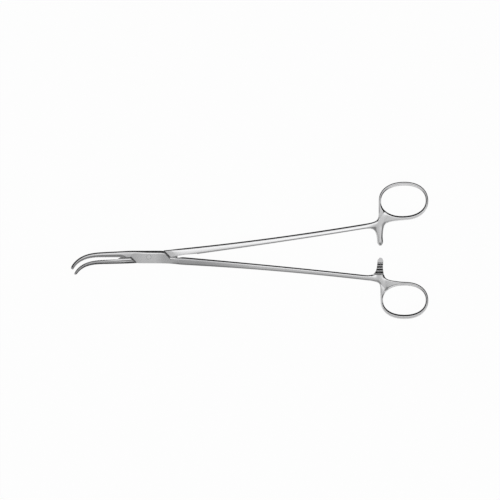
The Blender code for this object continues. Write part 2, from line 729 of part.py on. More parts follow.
def ground_faces(name):
    """The slab between the two ground faces of the lock."""
    reach = 2 * ARM_TIP_X
    return prism(name, ((-reach, -reach), (reach, -reach), (reach, reach), (-reach, reach)), 0.0, BOX_THICKNESS)


def make_lock_pin(material):
    bm = bmesh.new()
    bmesh.ops.create_cone(bm, cap_ends=True, segments=32, radius1=PIN_RADIUS * MM, radius2=PIN_RADIUS * MM,
                          depth=BOX_THICKNESS * MM)
    bmesh.ops.translate(bm, verts=bm.verts, vec=(0, 0, MIDDLE_Z * MM))
    solid = finished_object("lock_pin", bm)
    solid.data.materials.append(material)
    return solid


def steel(name, roughness):
    material = bpy.data.materials.new(name)
    material.use_nodes = True
    shader = material.node_tree.nodes["Principled BSDF"]
    shader.inputs["Base Color"].default_value = STEEL
    shader.inputs["Metallic"].default_value = 1.0
    shader.inputs["Roughness"].default_value = roughness
    return material


def clear_scene():
    for item in list(bpy.data.objects):
        bpy.data.objects.remove(item, do_unlink=True)


def main():
    clear_scene()
    box_half = make_box_half(steel("satin_steel", 0.3))
    make_lock_pin(steel("pin_steel", 0.28)).parent = box_half
    make_tongue_half(steel("bright_steel", 0.24))


main()
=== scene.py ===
"""Ligature forceps: the dressed instrument in its studio.

Both halves are built again from their plan, finer than the CAD solids, and take the solids' places.
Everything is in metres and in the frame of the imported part: the pin stands on the Z axis, the lower
cheek lies on z = 0, the jaws point to -X and the finger rings lie at +X.
"""
import json
import math
from collections import namedtuple

import bmesh
import bpy
import numpy as np
from bpy.props import FloatProperty, FloatVectorProperty, IntProperty, PointerProperty
from bpy.types import Operator, Panel, PropertyGroup
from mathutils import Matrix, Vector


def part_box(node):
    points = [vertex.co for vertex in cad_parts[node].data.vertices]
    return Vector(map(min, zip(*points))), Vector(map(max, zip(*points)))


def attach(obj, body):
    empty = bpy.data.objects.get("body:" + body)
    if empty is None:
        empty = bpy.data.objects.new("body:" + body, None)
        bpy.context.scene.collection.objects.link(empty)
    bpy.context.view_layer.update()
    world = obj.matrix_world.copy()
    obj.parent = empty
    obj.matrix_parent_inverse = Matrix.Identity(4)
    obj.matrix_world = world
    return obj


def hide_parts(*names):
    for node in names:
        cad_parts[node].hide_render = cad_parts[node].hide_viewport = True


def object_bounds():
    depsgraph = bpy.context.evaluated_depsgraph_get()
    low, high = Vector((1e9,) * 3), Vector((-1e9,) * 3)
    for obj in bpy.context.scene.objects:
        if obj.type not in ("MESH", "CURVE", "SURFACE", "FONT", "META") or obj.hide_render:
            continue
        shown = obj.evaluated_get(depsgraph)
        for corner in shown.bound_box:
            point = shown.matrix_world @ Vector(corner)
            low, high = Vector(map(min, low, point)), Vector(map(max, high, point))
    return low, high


bl_info = {
    "name": "Ligature forceps",
    "version": (1, 0, 0),
    "blender": (4, 5, 0),
    "location": "View3D > Sidebar > Forceps",
    "description": "Builds the two halves and the lock pin of a curved, ring-handled ligature forceps",
    "category": "Add Mesh",
}

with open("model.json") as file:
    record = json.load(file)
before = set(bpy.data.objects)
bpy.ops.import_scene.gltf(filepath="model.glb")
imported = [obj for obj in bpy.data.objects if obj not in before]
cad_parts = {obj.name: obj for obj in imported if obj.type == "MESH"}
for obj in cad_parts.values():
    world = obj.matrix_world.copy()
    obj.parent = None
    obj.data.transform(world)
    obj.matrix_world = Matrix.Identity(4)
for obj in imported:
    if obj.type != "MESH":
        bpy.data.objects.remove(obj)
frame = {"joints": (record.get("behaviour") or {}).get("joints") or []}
CAD_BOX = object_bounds()
PIN_LOW, PIN_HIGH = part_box("lock_pin")
LOCK_RANGE = frame["joints"][0]["range_deg"]
MM = 0.001


def length(name, description, millimetres):
    """A size of the instrument, shown in the panel as a distance."""
    return FloatProperty(name=name, description=description, default=millimetres * MM,
                         subtype="DISTANCE", unit="LENGTH", precision=5)


def place(name, description, x, y):
    """A point in the plan, x along the instrument and y across it."""
    return FloatVectorProperty(name=name, description=description, default=(x * MM, y * MM), size=2,
                               unit="LENGTH", precision=5)


def turn(name, description, degrees):
    return FloatProperty(name=name, description=description, default=math.radians(degrees),
                         subtype="ANGLE", unit="ROTATION")


def level(name, description, value):
    return FloatProperty(name=name, description=description, default=value, min=0.0, soft_max=2.0)


def colour(name, description, value):
    return FloatVectorProperty(name=name, description=description, default=value, size=3, min=0.0, max=1.0,
                               subtype="COLOR")


class LockSizes(PropertyGroup):
    """The box lock: the slotted box, the tongue that passes through it, and their shoulders."""

    thickness: length("Thickness", "Between the two ground faces", (PIN_HIGH.z - PIN_LOW.z) / MM)
    half_width: length("Box half width", "From the pin's axis to the side of the box", 4.25)
    slot_height: length("Slot height", "Of the slot for the tongue", 2.2)
    pin_radius: length("Pin radius", "Of the riveted pin", (PIN_HIGH.x - PIN_LOW.x) / 2 / MM)
    tongue_radius: length("Tongue radius", "Of the tongue's disc round the pin", 3.1)
    clearance: length("Tongue clearance", "Between the tongue's disc and the slot", 0.12)
    front_inner: place("Front shoulder, inner end", "In the crotch of the jaws", -12.0, -0.2)
    front_outer: place("Front shoulder, outer end", "At the side of the box", -7.75, -4.35)
    rear_inner: place("Rear shoulder, inner end", "In the crotch of the shanks", 14.3, -1.21)
    rear_outer: place("Rear shoulder, outer end", "At the side of the box", 9.5, 4.29)
    front_arm: place("Front arm of the tongue", "Where it leaves the box", -8.1, -4.0)
    rear_arm: place("Rear arm of the tongue", "Where it leaves the box", 9.9, 4.05)
    web_rise: length("Web rise", "How far the tongue's web stands in the upper jaw's root", 1.3)
    web_reach: length("Web reach", "Of the tongue's web in front of the box", 6.8)
    rear_web_rise: length("Rear web rise", "How far the tongue's web stands in the lower shank's root", 0.7)
    rear_web_reach: length("Rear web reach", "Of the tongue's web behind the box", 4.8)
    edge_break: length("Edge break", "Width taken off the edges of the shoulders", 0.45)
    crotch_slope: turn("Crotch slope", "Of the parting line behind the rear shoulder", 7.3)
    closing: turn("Closing turn", "From the modelled pose to closed jaws", -LOCK_RANGE[0])
    opening: turn("Opening turn", "From the modelled pose to the opening stops", LOCK_RANGE[1])


class JawSizes(PropertyGroup):
    """The jaws: one meeting line, straight at first and bent in the plane at the tip."""

    straight_end: length("End of the straight", "Where the meeting line starts to bend", -30.9)
    curved_length: length("Curved length", "Of the bent stretch", 22.6)
    tip_bend: turn("Tip bend", "Of the meeting line, from its straight stretch to the tip", 62.7)
    bend_growth: level("Bend growth", "Power by which the bend tightens towards the tip", 1.8)
    box_tip_depth: length("Upper tip depth", "Of the jaw that belongs to the box", 2.0)
    box_root_depth: length("Upper root depth", "Of the jaw that belongs to the box", 4.35)
    tongue_tip_depth: length("Lower tip depth", "Of the jaw that belongs to the tongue", 1.75)
    tongue_root_depth: length("Lower root depth", "Of the jaw that belongs to the tongue", 3.6)
    tip_half_thickness: length("Tip half thickness", "At the end of both jaws", 1.05)
    root_half_thickness: length("Root half thickness", "At the lock end of both jaws", 2.6)
    serration_pitch: length("Serration pitch", "From groove to groove", 1.05)
    serration_depth: length("Serration depth", "Of the cross grooves", 0.3)
    serration_count: IntProperty(name="Serrations", description="Number of cross grooves", default=24, min=1)


class ShankSizes(PropertyGroup):
    """The two shanks between the lock and the finger rings."""

    start: length("Start", "Behind the pin", 20.8)
    root_width: length("Root width", "At the lock", 5.3)
    end_width: length("End width", "At the finger ring", 3.4)
    root_half_thickness: length("Root half thickness", "At the lock", 2.5)
    half_thickness: length("Half thickness", "Along the shank", 1.9)


class RatchetSizes(PropertyGroup):
    """The two ratchet arms between the rings."""

    arm_width: length("Arm width", "Across the arm", 3.9)
    arm_lean: turn("Arm lean", "Of the arms towards the lock", 4.5)
    tip_x: length("Arm tip", "Behind the pin", 155.2)
    box_tip_y: length("Lower arm's reach", "Of its tip short of the middle line", 0.8)
    overlap: length("Overlap", "Of the arms when the jaws meet", 0.3)
    clearance: length("Rack clearance", "Between the two racks", 0.05)
    tooth_pitch: length("Tooth pitch", "From notch to notch", 1.75)
    tooth_depth: length("Tooth depth", "Of a notch", 0.5)
    first_tooth: length("First tooth", "From the arm's tip", 3.3)
    tooth_count: IntProperty(name="Teeth", description="Notches on each arm", default=5, min=1)


class RingSizes(PropertyGroup):
    """What the two finger rings have in common."""

    power: level("Squareness", "Power of the rings' superellipse", 2.2)
    end_bar: length("End bar", "Width of the ring's bar at its ends", 1.7)
    side_bar: length("Side bar", "Width of the ring's bar at its sides", 2.65)
    half_thickness: length("Ring half thickness", "Of the ring's bar", 2.05)
    pad_half_thickness: length("Pad half thickness", "Where shank, arm and ring meet", 1.95)
    foot_slope: turn("Foot slope", "Of the ring's lower edge at the arm", 8.0)


class BoxHandleSizes(PropertyGroup):
    """Shank and ring of the half with the box. y counts away from the middle line."""

    shank_start: length("Shank start", "From the middle line", 2.6)
    shank_end: place("Shank end", "At the pad", 144.1, 13.75)
    shank_bow: length("Shank bow", "Rise of the shank from a straight line", -0.7)
    ring_centre: place("Ring centre", "Of the finger hole", 171.05, 28.9)
    ring_hole: place("Finger hole", "Its two half sizes", 14.3, 9.8)
    ring_tilt: turn("Ring tilt", "Of the finger hole", 0.0)
    ring_shift: length("Ring shift", "Of the ring's outer edge from its hole", 0.2)


class TongueHandleSizes(PropertyGroup):
    """Shank and ring of the half with the tongue. y counts away from the middle line."""

    shank_start: length("Shank start", "From the middle line", 3.0)
    shank_end: place("Shank end", "At the pad", 144.1, 20.4)
    shank_bow: length("Shank bow", "Rise of the shank from a straight line", -0.75)
    ring_centre: place("Ring centre", "Of the finger hole", 170.4, 37.6)
    ring_hole: place("Finger hole", "Its two half sizes", 14.9, 10.2)
    ring_tilt: turn("Ring tilt", "Of the finger hole", 2.0)
    ring_shift: length("Ring shift", "Of the ring's outer edge from its hole", -0.15)


class SteelFinish(PropertyGroup):
    """The ground and satin-brushed stainless steel."""

    colour: colour("Steel", "Colour of the stainless steel", (0.60, 0.60, 0.605))
    roughness: level("Satin roughness", "Of the brushed surfaces", 0.16)
    # Painted shade: how far the colour of the jaws and lock is darkened; their satin is no different
    jaw_painted_shade: level("Jaw shade", "How much darker the satin of jaws and lock is than the handles", 0.40)
    # Painted shade: the crevice settings darken the steel's colour where nearby walls block the sky, in the
    # lock's crevices, grooves and racks
    crevice_reach: length("Crevice reach", "How near a wall must stand to darken a surface", 2.2)
    crevice_shade: level("Crevice shade", "How far the steel darkens in the lock's crevices", 0.85)
    grain_depth: length("Grain depth", "Of the brush marks", 0.004)
    edge_radius: length("Edge radius", "Of the broken edges", 0.12)


class StudioLook(PropertyGroup):
    """The pale floor, the light tent, the key lamp and the camera."""

    floor: colour("Floor", "Colour of the table", (0.92, 0.92, 0.92))
    floor_glow: level("Floor glow", "How far the table shows as plain white", 0.97)
    tent_level: level("Tent level", "Brightness of the light tent", 1.0)
    key_power: FloatProperty(name="Key power", description="Of the soft key lamp", default=1.0, unit="POWER")
    view_width: length("View width", "Seen by the camera at the lock's middle plane", 335.0)
    view_centre: place("View centre", "Seen in the middle of the picture", 67.67, 4.62)


class ForcepsSettings(PropertyGroup):
    """All sizes, finishes and the studio."""

    lock: PointerProperty(type=LockSizes)
    jaws: PointerProperty(type=JawSizes)
    shanks: PointerProperty(type=ShankSizes)
    ratchet: PointerProperty(type=RatchetSizes)
    rings: PointerProperty(type=RingSizes)
    box_handle: PointerProperty(type=BoxHandleSizes)
    tongue_handle: PointerProperty(type=TongueHandleSizes)
    steel: PointerProperty(type=SteelFinish)
    studio: PointerProperty(type=StudioLook)


# Plan geometry

PARTING_CLEARANCE = 0.12 * MM
SLOT_CLEARANCE = 0.1 * MM
BORE_CLEARANCE = 0.04 * MM
OVERLAP = 0.03 * MM
# Clear of the lock on every side, for cutters that run out into the open
FAR = 9.0 * MM
ROUND_STEPS = 96

# Meeting line and jaws: stations in millimetres from the tip, the first one just past it
LINE_STEPS = 1200
LINE_RUN_OUT = 4.0 * MM
SERRATION_STEPS_PAST = 7
FIRST_CREST = 0.25
JAW_ALLOWANCE = 0.35 * MM
JAW_STATIONS = (-0.35, 0.5, 2.6, 5.2, 7.8, 10.6, 13.6, 17.0, 21.0, 26.0, 31.5, 36.5)
JAW_TAPER = 0.78
TIP_ROUNDING = 0.3
TIP_THINNING = 0.7
# Tilts of the jaws' two bevels in degrees, first at the lock and then from the bend to the tip
UPPER_JAW_TILTS = np.array(((21.0, 34.0), (21.0, 36.0)))
LOWER_JAW_TILTS = np.array(((10.0, 37.0), (26.0, 40.0)))
JAW_TILTS_CHANGE = (22.6 * MM, 35.0 * MM)

# Lock
SHOULDER_RUN_OUT = 4.0 * MM
CROTCH_LENGTH = 9.0 * MM
CROTCH_RUN_OUT = 0.8 * MM
TONGUE_ANCHOR = 3.0 * MM
FRONT_ANCHOR_RISE = 0.5 * MM
REAR_ANCHOR_RISE = 0.15 * MM
WEB_SLANT = 2.0
WEB_FOOT_DEPTH = 1.0 * MM
REAR_WEB_ANGLE = math.radians(-17.0)
TONGUE_ARC_STEPS = 24
SLOT_FRONT_STEPS = 18
SLOT_REAR_STEPS = 12
# What the ground faces take off each side, in millimetres
GROUND_ALLOWANCE = 0.08
EDGE_BREAK_SLOPE = 0.84
EDGE_BREAK_OFFSET = 0.03 * MM
PIN_CHAMFER = 0.06 * MM

# Shanks: stations as shares of their length, and how fast they narrow and thin behind the lock
SHANK_STATIONS = (0.0, 0.07, 0.16, 0.3, 0.46, 0.62, 0.78, 0.9, 1.0)
SHANK_TAPER = 2.6
SHANK_THINNING = 5

# Ratchet arms: stations as shares of their length, after the first one at the fillet's end
ARM_STATIONS = (0.62, 0.8, 1.0)
ARM_SETBACK = 1.5 * MM
ARM_ROUND_OFF = 1.15 * MM
ARM_ROUND_PAST = 0.3 * MM
ARM_END_THINNING = 0.85
TOOTH_ROOT = 0.3 * MM
TOOTH_LAND = 0.5 * MM
RACK_DEPTH = 3.0 * MM
# Width of the rack's cutter over the arm's own, so that it cuts right across
RACK_WIDTH = 3.8

# Rings and pads. Angles in degrees, as seen from the finger hole's centre
RING_JOIN_WEST = 183.0
RING_JOIN_SOUTH = 265.0
RING_CORNER = 217.0
RING_STEPS = 16
FILLET_REACH = 6.0 * MM
ARM_FILLET = 1.0 * MM
FOOT_FILLET = 1.3 * MM
RING_FILLET = 0.55 * MM
PAD_CORNER = 0.72

# Smoothing of the cage. A bevel takes up at most the limit's share of its bar
BEVEL_LIMIT = 0.42
SMOOTHING = 3
EDGE_CREASE = 0.7
BEVEL_CREASE = 0.3
RING_BEVEL_CREASE = 0.8
SHARP_ANGLE = math.radians(34.0)

# A bar's section, one value for each of its two sides: height of the edge and height where the bevel
# ends, both as shares of the half thickness, and the bevel's width in millimetres.
# Handle bars name their outer side first, arms and lock the side towards the jaws, jaws the meeting side
Section = namedtuple("Section", "edges crown bevels")
RING_BAR = Section((0.84, 0.71), (1.0, 1.0), (0.65, 1.1))
ARM_BAR = Section((0.72, 0.72), (1.0, 1.0), (0.94, 0.94))
ARM_END = Section((0.8, 0.8), (1.0, 1.0), (0.6, 0.6))
TONGUE_SHANK = Section((0.60, 0.90), (0.89, 1.0), (1.0, 0.68))
BOX_SHANK = Section((0.88, 0.66), (0.97, 1.0), (0.5, 0.95))
UPPER_JAW = Section((0.62, 0.72), (1.0, 0.93), (2.4, 0.8))
LOWER_JAW = Section((0.86, 0.45), (1.0, 0.95), (1.3, 1.7))
BOX_END = Section((0.95, 0.65), (1.0, 1.0), (0.3, 1.05))
BOX_LOCK = Section((0.95, 0.56), (1.0, 1.0), (0.3, 1.6))
TONGUE_LOCK = Section((0.8, 0.85), (1.0, 1.0), (0.8, 0.6))


def turned(point, angle):
    """A plan point turned about the pin."""
    c = math.cos(angle)
    s = math.sin(angle)
    return (point[0] * c - point[1] * s, point[0] * s + point[1] * c)


def on_circle(radius, angle):
    return (radius * math.cos(angle), radius * math.sin(angle))


def blend(a, b, t):
    return a + (b - a) * t


def crossing(point_a, way_a, point_b, way_b):
    """Where two straight lines in the plan cross."""
    matrix = np.array(((way_a[0], -way_b[0]), (way_a[1], -way_b[1])))
    t = np.linalg.solve(matrix, np.array(point_b) - np.array(point_a))[0]
    return np.array(point_a) + t * np.array(way_a)


def arc(radius, start, end, steps):
    return [on_circle(radius, blend(start, end, i / steps)) for i in range(steps + 1)]


def circle(radius, steps=ROUND_STEPS):
    return arc(radius, 0.0, 2 * math.pi, steps)[:-1]


def jaw_length(s):
    return s.lock.front_inner[0] - s.jaws.straight_end + s.jaws.curved_length


def meeting_line(s, distances):
    """Points and normals of the line where the closed jaws meet, at distances from the box.
    The normals point to the back of the jaw of the box half."""
    straight = s.lock.front_inner[0] - s.jaws.straight_end
    fine = np.linspace(0, jaw_length(s) + LINE_RUN_OUT, LINE_STEPS)
    along = np.clip((fine - straight) / s.jaws.curved_length, 0, None)
    bend = s.jaws.tip_bend * along ** s.jaws.bend_growth
    step = fine[1] - fine[0]
    middle = (bend[1:] + bend[:-1]) / 2
    x = s.lock.front_inner[0] - np.concatenate(((0,), np.cumsum(np.cos(middle)) * step))
    y = s.lock.front_inner[1] - np.concatenate(((0,), np.cumsum(np.sin(middle)) * step))
    distances = np.asarray(distances, dtype=float)
    bend_at = np.interp(distances, fine, bend)
    points = np.stack((np.interp(distances, fine, x), np.interp(distances, fine, y)), axis=1)
    normals = np.stack((-np.sin(bend_at), np.cos(bend_at)), axis=1)
    return points, normals


def serrated_line(s, offset):
    """The meeting line with its serrations, moved by offset along its normals."""
    count = s.jaws.serration_count
    start = jaw_length(s) - s.jaws.serration_pitch * count
    steps = np.arange(2 * count + SERRATION_STEPS_PAST)
    teeth = start + s.jaws.serration_pitch * (steps / 2 + FIRST_CREST)
    rise = s.jaws.serration_depth / 2 * np.where(steps % 2 == 0, 1, -1)
    distances = np.concatenate(((0, start), teeth))
    points, normals = meeting_line(s, distances)
    return points + normals * (np.concatenate(((0, 0), rise)) + offset)[:, None]


def rear_crotch(s, angle, clearance):
    """The line below the tongue half's shank at the lock: shoulder foot, then along the crotch."""
    foot = s.lock.rear_inner
    end = (foot[0] + CROTCH_LENGTH, foot[1] + CROTCH_LENGTH * math.tan(s.lock.crotch_slope))
    return [turned((x, y + clearance), angle) for x, y in (foot, end)]


def shoulder_line(inner, outer, angle, clearance):
    """A shoulder moved away from the pin by the clearance, its outer end run on past the steel."""
    inner = np.array(inner)
    outer = np.array(outer)
    way = (outer - inner) / np.linalg.norm(outer - inner)
    normal = np.array((way[1], -way[0]))
    if np.dot(normal, inner) < 0:
        normal = -normal
    inner = inner + normal * clearance
    outer = outer + normal * clearance + way * SHOULDER_RUN_OUT
    return turned(inner, angle), turned(outer, angle)


def box_half_front_cut(s):
    """Everything on the other jaw's side of the meeting line, down to the front shoulder."""
    jaw = [tuple(p) for p in serrated_line(s, 0.0)]
    outer = shoulder_line(s.lock.front_inner, s.lock.front_outer, 0, 0)[1]
    return jaw + [(jaw[-1][0] + 1.0 * MM, -3 * FAR), (outer[0], -3 * FAR), outer]


def box_half_rear_cut(s):
    """Everything on the other shank's side of the rear shoulder and the crotch."""
    outer = shoulder_line(s.lock.rear_inner, s.lock.rear_outer, 0, 0)[1]
    foot, end = rear_crotch(s, 0, 0)
    return [outer, foot, end, (end[0], 2 * FAR), (outer[0], 2 * FAR)]


def tongue_half_cut(s):
    """The space of the box half, turned back from the closed pose, with the parting clearance."""
    lock = s.lock
    closing = lock.closing
    jaw = [turned(p, closing) for p in serrated_line(s, -PARTING_CLEARANCE)]
    front_inner, front_outer = shoulder_line(lock.front_inner, lock.front_outer, closing, PARTING_CLEARANCE)
    rear_outer = shoulder_line(lock.rear_inner, lock.rear_outer, closing, PARTING_CLEARANCE)[1]
    foot, end = rear_crotch(s, closing, PARTING_CLEARANCE)
    front_way = np.array(front_outer) - np.array(front_inner)
    corner = crossing(jaw[0], (1.0, math.tan(closing)), front_inner, front_way)
    behind = (end[0] + FAR, end[1] + CROTCH_RUN_OUT)
    before = (jaw[-1][0] - FAR, jaw[-1][1])
    outline = [tuple(corner), front_outer, (front_outer[0], -2 * FAR), (behind[0], -2 * FAR), behind]
    outline += [end, foot, rear_outer, (rear_outer[0], 2 * FAR), (before[0], 2 * FAR), before]
    return outline + list(reversed(jaw[1:]))


def arm_edge(s, end, angle, radius):
    """A tongue arm's edge that runs tangent to the tongue's disc: tangent point and heading."""
    heading = math.atan2(end[1], end[0]) - math.asin(s.lock.tongue_radius / math.hypot(*end)) + angle
    return on_circle(radius, heading + math.pi / 2), heading


def tongue_outline(s):
    """The tongue at rest: a disc round the pin with one arm into the jaw and one into the shank."""
    lock = s.lock
    radius = lock.tongue_radius
    front_tangent = arm_edge(s, lock.front_arm, 0, radius)[0]
    rear_tangent = arm_edge(s, lock.rear_arm, 0, radius)[0]
    margin = lock.clearance + OVERLAP
    web_y = lock.front_inner[1] + lock.web_rise - margin
    front_angle = math.pi + math.asin(-web_y / radius) + lock.closing
    rear_angle = REAR_WEB_ANGLE + margin / radius + lock.closing
    web_end = lock.front_inner[0] - lock.web_reach
    front_far = turned((web_end + lock.clearance, web_y), lock.closing)
    foot_y = lock.front_inner[1] - WEB_FOOT_DEPTH
    front_foot = turned((web_end - WEB_SLANT * (web_y - foot_y), foot_y), lock.closing)
    web_back = lock.rear_inner[0] + lock.rear_web_reach
    foot = turned((web_back, lock.rear_inner[1] - lock.rear_web_rise + margin), lock.closing)
    foot_top = turned((web_back, lock.rear_inner[1] + lock.rear_web_rise), lock.closing)
    front_end = tuple(lock.front_arm)
    rear_end = tuple(lock.rear_arm)
    front_anchor = (front_end[0] - TONGUE_ANCHOR, front_end[1] + FRONT_ANCHOR_RISE)
    outline = arc(radius, math.atan2(rear_tangent[1], rear_tangent[0]), front_angle, TONGUE_ARC_STEPS)
    outline += [front_far, front_foot, front_anchor, front_end]
    outline += arc(radius, math.atan2(front_tangent[1], front_tangent[0]), rear_angle, TONGUE_ARC_STEPS)
    outline += [foot, foot_top, (foot_top[0] + 1.0 * MM, foot_top[1] + 2.0 * MM)]
    outline += [(rear_end[0] + TONGUE_ANCHOR, rear_end[1] + REAR_ANCHOR_RISE), rear_end]
    return outline


def slot_outline(s):
    """The slot through the box: the tongue's sweep from closed to the opening stops."""
    lock = s.lock
    radius = lock.tongue_radius + lock.clearance
    rear_stop, rear_heading = arm_edge(s, lock.rear_arm, lock.opening, radius)
    front_stop, front_heading = arm_edge(s, lock.front_arm, lock.opening, radius)
    web_y = lock.front_inner[1] + lock.web_rise - OVERLAP
    front_angle = math.pi + math.asin(-web_y / radius)
    foot_x = lock.rear_inner[0] + lock.rear_web_reach + 2 * lock.clearance
    foot = (foot_x, lock.rear_inner[1] - lock.rear_web_rise + OVERLAP)
    front_x = lock.front_inner[0] - lock.web_reach - lock.clearance
    stop_run = 2 * lock.tongue_radius
    rear_out = np.array(rear_stop) + stop_run * np.array(on_circle(1, rear_heading))
    front_out = np.array(front_stop) + stop_run * np.array(on_circle(1, front_heading))
    outline = arc(radius, math.atan2(rear_stop[1], rear_stop[0]), front_angle, SLOT_FRONT_STEPS)
    front_foot = (front_x - WEB_SLANT * (web_y + FAR), -FAR)
    outline += [(front_x, web_y), front_foot, (front_out[0], -FAR), tuple(front_out)]
    outline += arc(radius, math.atan2(front_stop[1], front_stop[0]), REAR_WEB_ANGLE, SLOT_REAR_STEPS)
    outline += [foot, (foot[0], FAR), (rear_out[0], FAR), tuple(rear_out)]
    return outline


def bevel_shares(left, right, bevels):
    """How far across from left to right the two bevels end."""
    width = float(np.linalg.norm(np.array(right) - np.array(left)))
    return min(bevels[0] * MM / width, BEVEL_LIMIT), 1 - min(bevels[1] * MM / width, BEVEL_LIMIT)


class Plan:
    """A sheet of quads seen from above. Each point holds x, y and half the thickness there.
    Each quad also holds the grain's coordinates at its corners: along the bar, and across it."""

    def __init__(self, middle_z):
        self.middle_z = middle_z
        self.points = []
        self.quads = []
        self.bevel_creases = {}

    def point(self, x, y, half):
        self.points.append((x, y, half))
        return len(self.points) - 1

    def row(self, left, right, half, section):
        """Four points across a bar: two edges, and the two lines where its bevels end."""
        left = np.array(left)
        right = np.array(right)
        first, second = bevel_shares(left, right, section.bevels)
        return [
            self.point(*left, half * section.edges[0]),
            self.point(*blend(left, right, first), half * section.crown[0]),
            self.point(*blend(left, right, second), half * section.crown[1]),
            self.point(*right, half * section.edges[1]),
        ]

    def place_of(self, index):
        return np.array(self.points[index][:2])

    def across(self, row, i):
        """How far a row's point lies from the row's middle."""
        left = self.place_of(row[0])
        right = self.place_of(row[-1])
        here = self.place_of(row[i])
        return float(np.linalg.norm(here - left) - np.linalg.norm(right - left) / 2)

    def join(self, rows, crease=BEVEL_CREASE):
        """Quads between neighbouring rows, with the grain along the rows' middles. The crease keeps
        the lines where the bevels end."""
        along = 0.0
        for row_a, row_b in zip(rows, rows[1:]):
            middle_a = (self.place_of(row_a[0]) + self.place_of(row_a[-1])) / 2
            middle_b = (self.place_of(row_b[0]) + self.place_of(row_b[-1])) / 2
            ahead = along + float(np.linalg.norm(middle_b - middle_a))
            for i in range(len(row_a) - 1):
                quad = (row_a[i], row_a[i + 1], row_b[i + 1], row_b[i])
                grain = (
                    (along, self.across(row_a, i)),
                    (along, self.across(row_a, i + 1)),
                    (ahead, self.across(row_b, i + 1)),
                    (ahead, self.across(row_b, i)),
                )
                self.quads.append((quad, grain))
            for i in (1, 2):
                self.bevel_creases[(row_a[i], row_b[i])] = crease
            along = ahead

    def solid(self, name):
        """The sheet thickened to both sides of the middle plane, walled along its free edges."""
        bm = bmesh.new()
        grain_layer = bm.loops.layers.uv.new("grain")
        crease_layer = bm.edges.layers.float.new("crease_edge")
        top = [bm.verts.new((x, y, self.middle_z + half)) for x, y, half in self.points]
        low = [bm.verts.new((x, y, self.middle_z - half)) for x, y, half in self.points]
        edges = {}
        for quad, grain in self.quads:
            add_face(bm, grain_layer, [top[i] for i in quad], grain)
            add_face(bm, grain_layer, [low[i] for i in reversed(quad)], list(reversed(grain)))
            for k in range(4):
                a = (quad[k], grain[k])
                b = (quad[(k + 1) % 4], grain[(k + 1) % 4])
                edges.setdefault(frozenset((a[0], b[0])), []).append((a, b))
        for uses in edges.values():
            if len(uses) == 1:
                (a, grain_a), (b, grain_b) = uses[0]
                deep_a = (grain_a[0], grain_a[1] + 2 * self.points[a][2])
                deep_b = (grain_b[0], grain_b[1] + 2 * self.points[b][2])
                wall = (top[b], top[a], low[a], low[b])
                add_face(bm, grain_layer, wall, (grain_b, grain_a, deep_a, deep_b))
                bm.edges.get((top[a], top[b]))[crease_layer] = EDGE_CREASE
                bm.edges.get((low[a], low[b]))[crease_layer] = EDGE_CREASE
        for (a, b), crease in self.bevel_creases.items():
            bm.edges.get((top[a], top[b]))[crease_layer] = crease
            bm.edges.get((low[a], low[b]))[crease_layer] = crease
        bmesh.ops.recalc_face_normals(bm, faces=bm.faces)
        return new_piece(name, bm)


def add_face(bm, grain_layer, verts, grain):
    face = bm.faces.new(verts)
    for loop, place_on_grain in zip(face.loops, grain):
        loop[grain_layer].uv = place_on_grain


def new_piece(name, bm):
    mesh = bpy.data.meshes.new(name)
    bm.to_mesh(mesh)
    bm.free()
    mesh.shade_smooth()
    piece = bpy.data.objects.new(name, mesh)
    bpy.context.collection.objects.link(piece)
    return piece


# Rows of the cage along jaw, lock and shank

def jaw_section(section, half, depth, tilts):
    """The section with its bevels at the given tilts, whatever the jaw's thickness there."""
    edges = []
    for crown, bevel, tilt in zip(section.crown, section.bevels, tilts):
        width = min(bevel * MM, BEVEL_LIMIT * depth)
        edges.append(crown - width * math.tan(tilt) / half)
    return Section(tuple(edges), section.crown, section.bevels)


def jaw_rows(plan, s, side):
    """Rows from the tip to the lock. The left point is on the meeting side, left uncut."""
    reach = jaw_length(s)
    to_tip = np.array(JAW_STATIONS) * MM
    points, normals = meeting_line(s, reach - to_tip)
    section = UPPER_JAW
    root_tilts, tip_tilts = UPPER_JAW_TILTS
    tip_depth = s.jaws.box_tip_depth
    root_depth = s.jaws.box_root_depth
    if side > 0:
        points = np.array([turned(p, s.lock.closing) for p in points])
        normals = -np.array([turned(n, s.lock.closing) for n in normals])
        section = LOWER_JAW
        root_tilts, tip_tilts = LOWER_JAW_TILTS
        tip_depth = s.jaws.tongue_tip_depth
        root_depth = s.jaws.tongue_root_depth
    rows = []
    for distance, point, normal in zip(to_tip, points, normals):
        share = (max(distance, 0.0) / reach) ** JAW_TAPER
        half = blend(s.jaws.tip_half_thickness, s.jaws.root_half_thickness, share)
        front = point - normal * JAW_ALLOWANCE
        depth = blend(tip_depth, root_depth, share)
        back = point + normal * depth
        near_tip = np.interp(distance, JAW_TILTS_CHANGE, (1, 0))
        tilts = np.radians(blend(root_tilts, tip_tilts, near_tip))
        if distance < 0:
            middle = blend(front, back, 0.5)
            front = blend(front, middle, TIP_ROUNDING)
            back = blend(back, middle, TIP_ROUNDING)
            half = half * TIP_THINNING
        rows.append(plan.row(front, back, half, jaw_section(section, half, depth, tilts)))
    return rows


